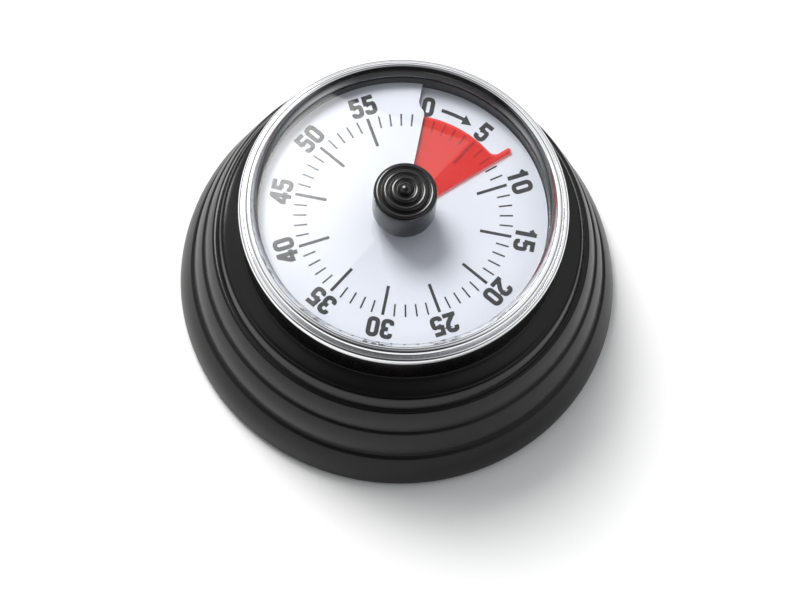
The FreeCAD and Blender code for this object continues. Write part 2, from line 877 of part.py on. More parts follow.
def make_dial():
    """White moulded dial: a thin sheet that climbs one pitch from one side of its slit to the
    other, on a rim that stands on the carrier's flat seat."""
    half = number("dial_thickness") / 2
    start = number("dial_start")
    seat = number("dial_seat")
    hole = number("dial_hole")
    radius = number("dial_radius")
    rim = number("rim_inner")
    depth = number("dial_rise") + number("dial_pitch") + 1
    spare = 6
    gusset = slit_gusset()
    above_seat = Part.makeCylinder(radius + 1, depth + 4, Vector(0, 0, seat))

    def stretch(first, last):
        thin = helical_sheet(hole, radius, -half, half, start, first, last)
        deep = helical_sheet(rim, radius, -depth, half, start, first, last)
        return thin.fuse(deep.common(above_seat))

    turn = stretch(0, 360).cut(gusset)
    beyond_zero = stretch(-spare, 0).common(gusset)
    part("dial", shaped("dial", turn.fuse(beyond_zero).removeSplitter()))


def film_plan():
    """The red disc's plan: a circle with a pointer tab along its leading edge, which is +Y here."""
    outer = number("film_outer")
    tip = number("tab_tip")
    width = number("tab_width")
    fillet = number("tab_fillet")
    height = 12
    bottom = number("dial_seat") - 3
    disc = Part.makeCylinder(outer, height, Vector(0, 0, bottom))
    tab = Part.makeBox(width, tip - width / 2 - outer / 2, height, Vector(-width, outer / 2, bottom))
    end = Part.makeCylinder(width / 2, height, Vector(-width / 2, tip - width / 2, bottom))
    fillet_x = -width - fillet
    fillet_y = math.sqrt((outer + fillet) ** 2 - fillet_x**2)
    fillet_box = Part.makeBox(fillet, fillet_y - outer + fillet, height,
                              Vector(fillet_x, outer - fillet, bottom))
    fillet_hole = Part.makeCylinder(fillet, height, Vector(fillet_x, fillet_y, bottom))
    return disc.fuse([tab, end, fillet_box.cut(fillet_hole)])


def make_indicator():
    """Red film that screws up and down through the dial's slit as it turns, on its sliding hub."""
    half = number("film_thickness") / 2
    setting = number("film_setting")
    span = number("film_span")
    above_dial = number("dial_pitch") / 2
    inner = number("hub_outer + seat_fit")
    start = number("dial_start") + above_dial
    blank = helical_sheet(inner, number("tab_tip"), -half, half, start, setting - span, setting)
    plan = film_plan()
    plan.rotate(Vector(), UP, -setting)
    part("indicator_disc", shaped("indicator_disc", blank.common(plan)))

    lead = "dial_start + dial_pitch / 2 + dial_pitch * film_setting / 360"
    hub_bottom = f"{lead} + film_thickness - hub_height"
    sleeve = rod("hub_sleeve", "hub_outer", hub_bottom, "hub_height")
    part("indicator_hub", cut("indicator_hub", sleeve,
                              flatted_bore("hub_bore", hub_bottom, "hub_height", "running_fit")))


def flatted_bore(name, bottom, height, fit):
    """The space that the arbor's flatted end needs in what is fitted on it."""
    round_bore = rod(name + "_round", f"arbor_journal + {fit}", bottom, height)
    keep = block(name + "_keep", f"arbor_journal + arbor_flat + 2 * {fit}", "4 * arbor_journal",
                 height, f"-arbor_journal - {fit}", "-2 * arbor_journal", bottom)
    common = doc.addObject("Part::Common", name)
    common.Base = round_bore
    common.Tool = keep
    return common


def make_knob():
    """Black knob: a plain cylinder whose top steps up in three round ridges to a small dome."""
    corners = [("0", "knob_bottom"), ("knob_radius", "knob_bottom"),
               ("knob_radius", "knob_shoulder - ridge_rise / 3")]
    ridges = 3
    for ridge in range(1, ridges + 1):
        corners.append((f"knob_radius - {ridge} * ridge_pitch",
                        f"knob_shoulder + {ridge} * ridge_rise", "ridge_curve", -1))
    foot = f"(knob_radius - {ridges} * ridge_pitch)"
    dome_curve = f"({foot}^2 + dome_rise^2) / (2 * dome_rise)"
    corners.append(("0", f"knob_shoulder + {ridges} * ridge_rise + dome_rise", dome_curve, -1))
    bore = flatted_bore("knob_bore", "knob_bottom", "knob_bore_depth", "seat_fit")
    part("knob", cut("knob", turned("knob_blank", corners), bore))


# --- Movement ---------------------------------------------------------------------------------


def make_plates():
    pivots = {name: "train_pivot + running_fit" for name in ARBORS}
    front_holes = [("arbor_journal + bush_wall",)]
    back_holes = [("arbor_pivot + running_fit",)]
    for name, radius in pivots.items():
        front_holes.append((radius, *ARBORS[name]))
        wide = "train_arbor + running_fit"
        back_holes.append((wide if name == "hammer" else radius, *ARBORS[name]))
    for angle in PILLAR_ANGLES:
        for holes in (front_holes, back_holes):
            holes.append(("screw_shank", *polar("pillar_radius", angle)))
    for angle in PLATE_SCREW_ANGLES:
        front_holes.append(("plate_screw_shank", *polar("plate_screw_circle", angle)))
    back_holes.append(("bell_post / 2", "bell_x", "bell_y"))
    back_holes.append(("spring_post / 2", *spring_post_spot()))
    part("front_plate", punched("front_plate", "plate_radius", "front_bottom", "plate_thickness",
                                front_holes))
    part("back_plate", punched("back_plate", "plate_radius", "back_bottom", "plate_thickness",
                               back_holes))


def make_pillars():
    pillars = []
    screws = []
    for angle in PILLAR_ANGLES:
        spot_on_plan = polar("pillar_radius", angle)
        column = rod(f"pillar_{angle}_column", "pillar_body", "back_top", "front_bottom - back_top",
                     *spot_on_plan)
        bore = rod(f"pillar_{angle}_bore", "screw_shank", "back_top", "front_bottom - back_top",
                   *spot_on_plan)
        pillars.append(cut(f"pillar_{angle}", column, bore))
        for upward, seat in ((True, "back_bottom"), (False, "front_top")):
            screws.append(screw(f"pillar_screw_{angle}_{'low' if upward else 'high'}", seat,
                                "screw_shank - seat_fit", "plate_thickness + screw_reach",
                                "screw_head", "screw_head_height", spot_on_plan, upward))
    part("pillars", grouped("pillars", pillars))
    part("pillar_screws", grouped("pillar_screws", screws))


def make_main_arbor():
    """Steel centre arbor: pivot below, thick body, journal through the front plate, flatted top."""
    blank = turned(
        "arbor_blank",
        [
            ("0", "back_bottom + end_shake"),
            ("arbor_pivot", "back_bottom + end_shake"),
            ("arbor_pivot", "back_top + end_shake"),
            ("arbor_body", "back_top + end_shake"),
            ("arbor_body", "front_bottom - end_shake"),
            ("arbor_journal", "front_bottom - end_shake"),
            ("arbor_journal", "arbor_top"),
            ("0", "arbor_top"),
        ],
    )
    flat = block("arbor_flat_cut", "arbor_journal", "4 * arbor_journal", "arbor_top - lug_top",
                 "arbor_flat", "-2 * arbor_journal", "lug_top")
    part("main_arbor", cut("main_arbor", blank, flat))
    bush = cut(
        "arbor_bush",
        rod("bush_outer", "arbor_journal + bush_wall", "front_bottom",
            "plate_thickness + lug_thickness / 2"),
        rod("bush_bore", "arbor_journal + running_fit", "front_bottom",
            "plate_thickness + lug_thickness / 2"),
    )
    part("arbor_bush", bush)


def involute(angle):
    return math.tan(angle) - angle


def gear_outline(teeth, module, addendum, dedendum):
    """A closed outline of involute teeth about the origin, with a tooth on the +X axis."""
    pressure = math.radians(number("pressure_angle"))
    pitch = module * teeth / 2
    base = pitch * math.cos(pressure)
    tip = pitch + addendum * module
    root = pitch - dedendum * module
    thickness = math.pi * module / 2 - number("tooth_play")
    at_pitch = thickness / (2 * pitch)

    def half_angle(radius):
        inside = math.acos(min(base / radius, 1))
        return at_pitch + involute(pressure) - involute(inside)

    low = max(base, root)
    heights = (low, (low + tip) / 2, tip)
    edges = []

    def point(radius, angle):
        return Vector(radius * math.cos(angle), radius * math.sin(angle), 0)

    step = 2 * math.pi / teeth
    for tooth in range(teeth):
        middle = tooth * step
        rising = [point(radius, middle - half_angle(radius)) for radius in heights]
        falling = [point(radius, middle + half_angle(radius)) for radius in reversed(heights)]
        foot = point(root, middle - half_angle(low))
        heel = point(root, middle + half_angle(low))
        next_foot = point(root, middle + step - half_angle(low))
        if root < low:
            edges.append(Part.makeLine(foot, rising[0]))
        edges.append(Part.Arc(*rising).toShape())
        edges.append(Part.makeLine(rising[-1], falling[0]))
        edges.append(Part.Arc(*falling).toShape())
        if root < low:
            edges.append(Part.makeLine(falling[-1], heel))
        edges.append(Part.makeLine(heel if root < low else falling[-1], next_foot))
    return Part.Wire(edges)


def saw_outline(teeth, tip, depth, lean):
    """A closed outline of pointed teeth.  lean is where each root lies between two tips, 0 to 1."""
    corners = []
    for tooth in range(teeth):
        for radius, share in ((tip, 0), (tip - depth, lean)):
            angle = 2 * math.pi * (tooth + share) / teeth
            corners.append(Vector(radius * math.cos(angle), radius * math.sin(angle), 0))
    return Part.makePolygon(corners + corners[:1])


def disc_from(outline, bore, thickness, crossings=0, crossing_radius=0, crossing_circle=0):
    """A flat wheel from its outline, with its bore and a ring of round holes that lighten it."""
    solid = Part.Face(outline).extrude(Vector(0, 0, thickness))
    if bore:
        solid = solid.cut(Part.makeCylinder(bore, thickness))
    for index in range(crossings):
        angle = 2 * math.pi * index / crossings
        middle = Vector(crossing_circle * math.cos(angle), crossing_circle * math.sin(angle), 0)
        solid = solid.cut(Part.makeCylinder(crossing_radius, thickness, middle))
    return solid


def stand(shape, where, bottom, turn=0.0):
    """Turn a shape about its own axis and stand it at a place on the plan and a height."""
    shape.rotate(Vector(), UP, turn)
    shape.translate(Vector(where.x, where.y, bottom))
    return shape


def mesh_turn(driver_turn, driver_teeth, driver, driven):
    """How far a pinion turns from its tooth-on-+X state to mesh with a wheel turned by a known
    angle, both in degrees."""
    leaves = number("pinion_leaves")
    line = math.degrees(math.atan2(driven.y - driver.y, driven.x - driver.x))
    return line + 180 - (driver_turn - line) * driver_teeth / leaves + 180 / leaves


def make_main_wheel():
    """Brass great wheel on the centre arbor, with the ratchet, click and trip cam around it."""
    teeth = int(number("main_teeth"))
    outline = gear_outline(teeth, number("main_module"), number("wheel_addendum"),
                           number("leaf_addendum + root_clearance"))
    wheel = disc_from(outline, number("arbor_body + seat_fit"), number("main_wheel_thickness"),
                      int(number("main_crossings")), number("main_tip * main_crossing_size"),
                      number("main_tip * main_crossing_place"))
    part("main_wheel", shaped("main_wheel", stand(wheel, Vector(), number("main_bottom"))))

    ratchet = disc_from(
        saw_outline(int(number("ratchet_teeth")), number("ratchet_tip"),
                    number("ratchet_tooth_depth"), number("ratchet_lean")),
        number("arbor_body + seat_fit"),
        number("ratchet_thickness - click_gap"),
    )
    part("ratchet_wheel", shaped("ratchet_wheel", stand(ratchet, Vector(), number("main_top"),
                                                        number("ratchet_turn"))))
    click_and_spring()
    cam = rod("cam_disc", "cam_tip", "third_bottom", "cam_thickness")
    notch = rod("cam_notch_cut", "cam_notch", "third_bottom", "cam_thickness",
                *polar("cam_tip", "nose_angle - film_setting"))
    bore = rod("cam_bore", "arbor_body + seat_fit", "third_bottom", "cam_thickness")
    part("trip_cam", cut("trip_cam", cam, fused("cam_cuts", [notch, bore])))


def click_and_spring():
    """The pawl that rides the ratchet, its pin in the great wheel, and its bent wire spring."""
    pivot = polar("click_pivot_radius", "click_pivot_angle")
    nose = polar("ratchet_tip + click_nose", "click_nose_angle")
    height = "ratchet_thickness - click_gap"
    pawl = fused(
        "click_blank",
        [
            bar("click_web", pivot, nose, "click_width", "main_top", height),
            rod("click_eye", "click_pin * 2", "main_top", height, *pivot),
            rod("click_nose_end", "click_nose", "main_top", height, *nose),
        ],
    )
    hole = rod("click_hole", "click_pin + running_fit", "main_top", height, *pivot)
    part("click", cut("click", pawl, hole))
    part("click_pin", rod("click_pin_body", "click_pin", "main_top",
                          "ratchet_thickness + click_pin_head", *pivot))
    anchor = polar("click_pivot_radius + click_spring_set_out", "click_spring_angle")
    along = polar("click_pivot_radius - click_spring_set_in",
                  "click_spring_angle - click_spring_reach")
    spring = fused(
        "click_spring",
        [
            rod("click_spring_peg", "click_spring_foot", "main_top",
                "click_spring_height + 2 * click_spring_lift", *anchor),
            bar("click_spring_leg", anchor, along, "click_spring_wire",
                "main_top + click_spring_lift", "click_spring_height"),
        ],
    )
    part("click_spring", spring)


def make_train():
    """Second, third and escape arbors: each a steel pinion with a brass wheel riveted on."""
    leaves = int(number("pinion_leaves"))
    tall = number("leaf_addendum")
    deep = number("leaf_addendum + root_clearance")
    short = number("wheel_addendum")
    pinion_deep = number("wheel_addendum + root_clearance")
    runs = {
        "second": ("main", "main_module", "main_bottom", "main_top"),
        "third": ("second", "second_module", "second_bottom", "second_top"),
        "escape": ("third", "third_module", "third_bottom", "third_top"),
    }
    wheel_levels = {
        "second": ("second_bottom", "second_wheel_thickness"),
        "third": ("third_bottom", "third_wheel_thickness"),
        "escape": ("escape_bottom", "escape_wheel_thickness"),
    }
    driver_place = Vector()
    driver_turn = 0.0
    for name, (driver, module_name, low, high) in runs.items():
        module = number(module_name)
        where = spot(name)
        turn = mesh_turn(driver_turn, number(f"{driver}_teeth"), driver_place, where)
        outline = gear_outline(leaves, module, tall, pinion_deep)
        length = number(f"{high} - {low} + 2 * pinion_overlap")
        pinion = stand(disc_from(outline, 0, length), where, number(f"{low} - pinion_overlap"),
                       turn)
        body_low = number("back_top + end_shake")
        body_high = number("front_bottom - end_shake")
        staff = Part.makeCylinder(number("train_arbor"), body_high - body_low,
                                  Vector(where.x, where.y, body_low))
        pivot = Part.makeCylinder(number("train_pivot"),
                                  number("front_top - back_bottom - 2 * end_shake"),
                                  Vector(where.x, where.y, number("back_bottom + end_shake")))
        part(f"{name}_pinion", shaped(f"{name}_pinion", pinion.fuse([staff, pivot])))

        bottom, thickness = wheel_levels[name]
        bore = number("train_arbor + seat_fit")
        if name == "escape":
            outline = saw_outline(int(number("escape_teeth")), number("escape_tip"),
                                  number("escape_tooth_depth"), number("escape_lean"))
            wheel = disc_from(outline, bore, number(thickness))
        else:
            teeth = int(number(f"{name}_teeth"))
            next_module = number(f"{name}_module")
            outline = gear_outline(teeth, next_module, short, deep)
            reach = next_module * teeth / 2
            wheel = disc_from(outline, bore, number(thickness), int(number("wheel_crossings")),
                              reach * number("wheel_crossing_size"),
                              reach * number("wheel_crossing_place"))
        part(f"{name}_wheel", shaped(f"{name}_wheel", stand(wheel, where, number(bottom), turn)))
        driver_place = where
        driver_turn = turn
    star = disc_from(
        saw_outline(int(number("star_teeth")), number("star_tip"), number("star_tooth_depth"),
                    number("star_lean")),
        number("train_arbor + seat_fit"),
        number("star_thickness"),
    )
    part("strike_star", shaped("strike_star", stand(star, spot("second"), number("star_bottom"))))


def spring_post_spot():
    """Where the mainspring's outer end is held: just outside its last turn."""
    reach = "spring_inner + (spring_half_turns - 1) * spring_half_pitch + spring_strip"
    return polar(f"{reach} + spring_post + running_fit", "180")


def make_mainspring():
    """Flat strip wound in half circles, each one half pitch larger than the one before.  Its outer
    end is an eye around the spring post."""
    strip = number("spring_strip")
    step = number("spring_half_pitch")
    width = number("spring_width")
    inner_face = []
    outer_face = []
    for half in range(int(number("spring_half_turns"))):
        side = 1 if half % 2 == 0 else -1
        middle = Vector(step * (half % 2), 0, 0)
        for face, offset in ((inner_face, 0.0), (outer_face, strip)):
            ring = number("spring_inner") + half * step + offset
            across = Vector(side * ring, 0, 0)
            face.append((middle + across, middle + Vector(0, side * ring, 0), middle - across))
    edges = [Part.Arc(*points).toShape() for points in inner_face]
    edges.append(Part.makeLine(inner_face[-1][2], outer_face[-1][2]))
    edges += [Part.Arc(*points).toShape() for points in reversed(outer_face)]
    edges.append(Part.makeLine(outer_face[0][0], inner_face[0][0]))
    coil = Part.Face(Part.Wire(edges)).extrude(Vector(0, 0, width))
    post_x, post_y = spring_post_spot()
    post = Vector(number(post_x), number(post_y), 0)
    eye = Part.makeCylinder(number("spring_post + running_fit") + strip, width, post)
    hole = Part.makeCylinder(number("spring_post + running_fit"), width, post)
    spring = coil.fuse(eye).cut(hole)
    spring.translate(Vector(0, 0, number("spring_bottom")))
    part("mainspring", shaped("mainspring", spring))


def make_bell():
    """Shallow steel bell, open upward, hung under the back plate on a riveted post."""
    wall = "bell_wall"
    bell = turned(
        "bell",
        [
            ("bell_post / 2 + running_fit", "bell_bottom"),
            ("bell_radius - bell_curve", "bell_bottom"),
            ("bell_radius", "bell_bottom + bell_depth", "bell_curve * 1.3", 1),
            ("bell_radius - bell_wall", "bell_bottom + bell_depth"),
            ("bell_radius - bell_curve - bell_wall / 3", "bell_bottom + bell_wall",
             "bell_curve * 1.3 - bell_wall", -1),
            ("bell_post / 2 + running_fit", f"bell_bottom + {wall}"),
        ],
    )
    part("bell", place(bell, "bell_x", "bell_y"))
    spot_on_plan = ("bell_x", "bell_y")
    post = fused(
        "bell_post_blank",
        [
            rod("bell_post_body", "bell_post", "bell_bottom + bell_wall",
                "back_bottom - bell_bottom - bell_wall", *spot_on_plan),
            rod("bell_post_rivet", "bell_post / 2", "back_bottom", "plate_thickness",
                *spot_on_plan),
        ],
    )
    bore = rod("bell_post_bore", "screw_shank", "bell_bottom + bell_wall", "screw_reach",
               *spot_on_plan)
    part("bell_post", cut("bell_post", post, bore))
    part("bell_screw", screw("bell_screw", "bell_bottom", "screw_shank - seat_fit",
                             "screw_reach", "bell_screw_head", "screw_head_height - screw_end_gap",
                             spot_on_plan, True))


def make_arbor(name, label):
    """A plain steel arbor with a thinner pivot at each end."""
    where = ARBORS[name]
    body = rod(f"{label}_body", "train_arbor", "back_top + end_shake",
               "front_bottom - back_top - 2 * end_shake", *where)
    pivot = rod(f"{label}_pivot", "train_pivot", "back_bottom + end_shake",
                "front_top - back_bottom - 2 * end_shake", *where)
    return [body, pivot]


def make_anchor():
    """Brass pallet anchor over the escape wheel, with two steel pins that face its teeth."""
    arm_ends = []
    escape_x, escape_y = ARBORS["escape"]
    anchor_x, anchor_y = ARBORS["anchor"]
    line = f"atan2(({anchor_y}) - ({escape_y}); ({anchor_x}) - ({escape_x}))"
    reach = "(escape_tip + pallet_gap + pallet_pin)"
    for sign in ("-", "+"):
        turn = f"({line} {sign} pallet_spread * 1deg)"
        arm_ends.append((f"({escape_x}) + {reach} * cos{turn}",
                         f"({escape_y}) + {reach} * sin{turn}"))
    webs = [rod("anchor_boss", "lever_boss", "anchor_bottom", "lever_thickness",
                *ARBORS["anchor"])]
    pins = []
    for index, end in enumerate(arm_ends):
        webs.append(bar(f"anchor_arm_{index}", ARBORS["anchor"], end, "lever_width * lever_taper",
                        "anchor_bottom", "lever_thickness"))
        webs.append(rod(f"anchor_tip_{index}", "lever_width * lever_taper / 2", "anchor_bottom",
                        "lever_thickness", *end))
        pins.append(rod(f"pallet_pin_{index}", "pallet_pin",
                        "escape_bottom - pallet_pin_drop",
                        "anchor_bottom - escape_bottom + pallet_pin_drop", *end))
    bore = rod("anchor_bore", "train_arbor + seat_fit", "anchor_bottom", "lever_thickness",
               *ARBORS["anchor"])
    part("pallet_anchor", cut("pallet_anchor", fused("anchor_webs", webs), bore))
    part("pallet_pins", grouped("pallet_pins", pins))
    part("anchor_arbor", fused("anchor_arbor", make_arbor("anchor", "anchor_arbor")))


def make_hammer():
    """Bell hammer: a lead head on an arm under the back plate, and a tail that meets the star."""
    hammer_x, hammer_y = ARBORS["hammer"]
    to_x = f"(({hammer_x}) - bell_x)"
    to_y = f"(({hammer_y}) - bell_y)"
    apart = f"sqrt({to_x}^2 + {to_y}^2)"
    turn = f"acos((strike_radius^2 + {apart}^2 - hammer_arm^2) / (2 * strike_radius * {apart}))"
    angle = f"(atan2({to_y}; {to_x}) - {turn})"
    head_spot = (f"bell_x + strike_radius * cos{angle}", f"bell_y + strike_radius * sin{angle}")
    head = rod("hammer_head_body", "hammer_head", "arm_bottom - hammer_head_drop",
               "lever_thickness + hammer_head_drop + hammer_head_stand", *head_spot)
    arm = fused(
        "hammer_arm_blank",
        [
            rod("hammer_boss", "lever_boss", "arm_bottom", "lever_thickness", hammer_x, hammer_y),
            bar("hammer_web", ARBORS["hammer"], head_spot, "lever_width", "arm_bottom",
                "lever_thickness"),
        ],
    )
    grip = rod("hammer_grip", "hammer_head + seat_fit", "arm_bottom", "lever_thickness", *head_spot)
    arm_bore = rod("hammer_arm_bore", "train_arbor + seat_fit", "arm_bottom", "lever_thickness",
                   hammer_x, hammer_y)
    part("hammer_arm", cut("hammer_arm", arm, fused("hammer_arm_cuts", [grip, arm_bore])))
    part("hammer_head", head)

    second_x, second_y = ARBORS["second"]
    share = "((hammer_apart - star_tip - tail_gap) / hammer_apart)"
    tail_spot = (f"({hammer_x}) + (({second_x}) - ({hammer_x})) * {share}",
                 f"({hammer_y}) + (({second_y}) - ({hammer_y})) * {share}")
    tail = fused(
        "hammer_tail_blank",
        [
            rod("tail_boss", "lever_boss", "star_bottom", "star_thickness", hammer_x, hammer_y),
            bar("tail_web", ARBORS["hammer"], tail_spot, "finger_width", "star_bottom",
                "star_thickness"),
        ],
    )
    tail_bore = rod("tail_bore", "train_arbor + seat_fit", "star_bottom", "star_thickness",
                    hammer_x, hammer_y)
    part("hammer_tail", cut("hammer_tail", tail, tail_bore))

    body = rod("hammer_arbor_body", "train_arbor", "arm_bottom",
               "front_bottom - end_shake - arm_bottom", hammer_x, hammer_y)
    pivot = rod("hammer_arbor_pivot", "train_pivot", "front_bottom - end_shake",
                "plate_thickness", hammer_x, hammer_y)
    part("hammer_arbor", fused("hammer_arbor", [body, pivot]))

    finger_spot = (f"({hammer_x}) * finger_reach",
                   f"({hammer_y}) * finger_reach - finger_set_off")
    finger = fused(
        "finger_blank",
        [
            rod("finger_boss", "lever_boss", "third_bottom", "cam_thickness", hammer_x, hammer_y),
            bar("finger_web", ARBORS["hammer"], finger_spot, "finger_width", "third_bottom",
                "cam_thickness"),
        ],
    )
    finger_bore = rod("finger_bore", "train_arbor + seat_fit", "third_bottom", "cam_thickness",
                      hammer_x, hammer_y)
    part("stop_finger", cut("stop_finger", finger, finger_bore))


def make_trip_lever():
    """Lever whose nose rides the trip cam and whose other arm reaches the hammer's stop finger."""
    nose = polar("cam_tip + nose_gap + lever_width / 2", "nose_angle")
    hammer_x, hammer_y = ARBORS["hammer"]
    trip_x, trip_y = ARBORS["trip"]
    catch = (f"({trip_x}) + (({hammer_x}) - ({trip_x})) * trip_catch_reach",
             f"({trip_y}) + (({hammer_y}) - ({trip_y})) * trip_catch_reach")
    webs = [rod("trip_boss", "lever_boss", "third_bottom", "cam_thickness", trip_x, trip_y)]
    for label, end in (("nose", nose), ("catch", catch)):
        webs.append(bar(f"trip_{label}_arm", ARBORS["trip"], end, "lever_width * lever_taper",
                        "third_bottom", "cam_thickness"))
        webs.append(rod(f"trip_{label}_end", "lever_width / 2", "third_bottom", "cam_thickness",
                        *end))
    bore = rod("trip_bore", "train_arbor + seat_fit", "third_bottom", "cam_thickness",
               trip_x, trip_y)
    part("trip_lever", cut("trip_lever", fused("trip_webs", webs), bore))
    part("trip_arbor", fused("trip_arbor", make_arbor("trip", "trip_arbor")))


def make_spring_post():
    spot_on_plan = spring_post_spot()
    post = fused(
        "spring_post",
        [
            rod("spring_post_body", "spring_post", "back_top",
                "spring_gap + spring_width + spring_post_cap", *spot_on_plan),
            rod("spring_post_rivet", "spring_post / 2", "back_bottom", "plate_thickness",
                *spot_on_plan),
        ],
    )
    part("spring_post", post)


# --- Build, check and write -------------------------------------------------------------------


def build():
    fill_sheet()
    make_housing()
    make_bezel()
    make_lens()
    make_dial_carrier()
    make_back_cover()
    make_foot_ring()
    make_magnets()
    make_case_screws()
    make_dial()
    make_indicator()
    make_knob()
    make_plates()
    make_pillars()
    make_main_arbor()
    make_main_wheel()
    make_train()
    make_mainspring()
    make_spring_post()
    make_bell()
    make_anchor()
    make_hammer()
    make_trip_lever()
    doc.recompute()


def check():
    for thing in doc.Objects:
        faults = {"Invalid", "Error"} & set(thing.State)
        if faults:
            raise RuntimeError(f"{thing.Name} is {faults}")
    for label, thing in PARTS.items():
        if thing.Shape.isNull() or not thing.Shape.isValid() or not thing.Shape.Solids:
            raise RuntimeError(f"{label} has no valid solid")


def write():
    os.makedirs("parts", exist_ok=True)
    for label, thing in PARTS.items():
        thing.Shape.exportStep(f"parts/{label}.step")
        print(f"{label}: {len(thing.Shape.Solids)} solids, {thing.Shape.Volume:.2f} mm3")


build()
check()
write()
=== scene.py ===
import math

import bmesh
import bpy
from mathutils import Matrix, Vector


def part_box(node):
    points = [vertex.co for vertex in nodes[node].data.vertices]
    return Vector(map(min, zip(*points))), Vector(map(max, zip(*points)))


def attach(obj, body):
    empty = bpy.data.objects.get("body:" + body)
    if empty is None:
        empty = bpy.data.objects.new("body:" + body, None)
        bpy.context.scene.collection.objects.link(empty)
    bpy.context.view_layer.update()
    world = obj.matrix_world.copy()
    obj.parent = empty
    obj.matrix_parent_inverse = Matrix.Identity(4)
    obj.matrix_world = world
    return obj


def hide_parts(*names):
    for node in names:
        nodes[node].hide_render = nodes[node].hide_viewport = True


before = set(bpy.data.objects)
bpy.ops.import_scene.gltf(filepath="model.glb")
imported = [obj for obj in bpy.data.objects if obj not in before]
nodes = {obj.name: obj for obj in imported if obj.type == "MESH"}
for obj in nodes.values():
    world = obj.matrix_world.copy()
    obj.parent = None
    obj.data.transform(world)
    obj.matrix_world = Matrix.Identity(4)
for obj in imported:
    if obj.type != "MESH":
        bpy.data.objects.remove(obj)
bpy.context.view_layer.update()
scene = bpy.context.scene
MM = 0.001

# ---------------------------------------------------------------------------------------------
# Movement plates: two discs of rolled brass sheet, blanked and pierced for the pivots.  Pillars
# hold them apart, and every arbor of the movement turns between them.
# ---------------------------------------------------------------------------------------------


def group_tree(name, inputs, outputs):
    """An empty node group with named float inputs (name, value) and named outputs (name, kind)."""
    tree = bpy.data.node_groups.new(name, "ShaderNodeTree")
    for label, value in inputs:
        socket = tree.interface.new_socket(label, in_out="INPUT", socket_type="NodeSocketFloat")
        socket.default_value = value
    for label, kind in outputs:
        tree.interface.new_socket(label, in_out="OUTPUT", socket_type=f"NodeSocket{kind}")
    return tree, tree.nodes.new("NodeGroupInput"), tree.nodes.new("NodeGroupOutput")


def node(tree, kind, operation=None, **settings):
    """A shader node with some sockets set, or linked where the value is another node's output.
    A setting is a socket's name with _ for each space, or _ and its number."""
    made = tree.nodes.new(kind)
    if operation:
        made.operation = operation
    for label, value in settings.items():
        place = int(label[1:]) if label[1:].isdigit() else label.replace("_", " ")
        socket = made.inputs[place]
        if isinstance(value, bpy.types.NodeSocket):
            tree.links.new(value, socket)
        else:
            socket.default_value = value
    return made


# Fine grain of a surface, and the slow drift of its gloss where fingers and cloths have been.
grain_detail = 4.0
drift_detail = 3.0
drift_low = 0.3
drift_high = 0.7
skin, skin_in, skin_out = group_tree(
    "surface_skin",
    [("Grain Scale", 4000), ("Drift Scale", 120), ("Gloss Low", 0.3), ("Gloss High", 0.4)],
    [("Height", "Float"), ("Roughness", "Float"), ("Drift", "Float")],
)
where = node(skin, "ShaderNodeTexCoord").outputs["Object"]
grain = node(skin, "ShaderNodeTexNoise", Vector=where, Scale=skin_in.outputs["Grain Scale"],
             Detail=grain_detail)
drift = node(skin, "ShaderNodeTexNoise", Vector=where, Scale=skin_in.outputs["Drift Scale"],
             Detail=drift_detail)
gloss = node(skin, "ShaderNodeMapRange", Value=drift.outputs["Fac"], From_Min=drift_low,
             From_Max=drift_high, To_Min=skin_in.outputs["Gloss Low"],
             To_Max=skin_in.outputs["Gloss High"])
skin.links.new(grain.outputs["Fac"], skin_out.inputs["Height"])
skin.links.new(gloss.outputs["Result"], skin_out.inputs["Roughness"])
skin.links.new(drift.outputs["Fac"], skin_out.inputs["Drift"])

# Rings left by a lathe or a polishing wheel, about the timer's own axis.
ring_detail = 2.0
waver_scale = 300.0
rings, rings_in, rings_out = group_tree(
    "turning_rings", [("Ring Scale", 9000), ("Waver", 0.3)], [("Height", "Float")]
)
where = node(rings, "ShaderNodeTexCoord").outputs["Object"]
parts = node(rings, "ShaderNodeSeparateXYZ", Vector=where)
plan = node(rings, "ShaderNodeCombineXYZ", X=parts.outputs["X"], Y=parts.outputs["Y"])
reach = node(rings, "ShaderNodeVectorMath", "LENGTH", _0=plan.outputs["Vector"])
along = node(rings, "ShaderNodeMath", "ADD", _0=reach.outputs["Value"], _1=parts.outputs["Z"])
ring_lines = node(rings, "ShaderNodeTexNoise", Scale=rings_in.outputs["Ring Scale"], Detail=ring_detail)
ring_lines.noise_dimensions = "1D"
rings.links.new(along.outputs["Value"], ring_lines.inputs["W"])
waver = node(rings, "ShaderNodeTexNoise", Vector=where, Scale=waver_scale)
mixed = node(rings, "ShaderNodeMath", "MULTIPLY_ADD", _0=waver.outputs["Fac"],
             _1=rings_in.outputs["Waver"], _2=ring_lines.outputs["Fac"])
rings.links.new(mixed.outputs["Value"], rings_out.inputs["Height"])

# Hairline scratches, as a mask: the thin edges between the cells of a slightly bent pattern.
scratch_bend_scale = 40.0
scratch_bend = 0.004
scratch_width = 0.02
scratches, scratches_in, scratches_out = group_tree(
    "hairline_scratches", [("Scale", 500), ("Amount", 0.5)], [("Mask", "Float")]
)
where = node(scratches, "ShaderNodeTexCoord").outputs["Object"]
bent = node(scratches, "ShaderNodeTexNoise", Vector=where, Scale=scratch_bend_scale)
field = node(scratches, "ShaderNodeVectorMath", "MULTIPLY_ADD", _0=bent.outputs["Color"],
             _1=(scratch_bend, scratch_bend, scratch_bend), _2=where)
cells = node(scratches, "ShaderNodeTexVoronoi", Vector=field.outputs["Vector"],
             Scale=scratches_in.outputs["Scale"])
cells.feature = "DISTANCE_TO_EDGE"
thin = node(scratches, "ShaderNodeMapRange", Value=cells.outputs["Distance"], From_Min=0.0,
            From_Max=scratch_width, To_Min=scratches_in.outputs["Amount"], To_Max=0.0)
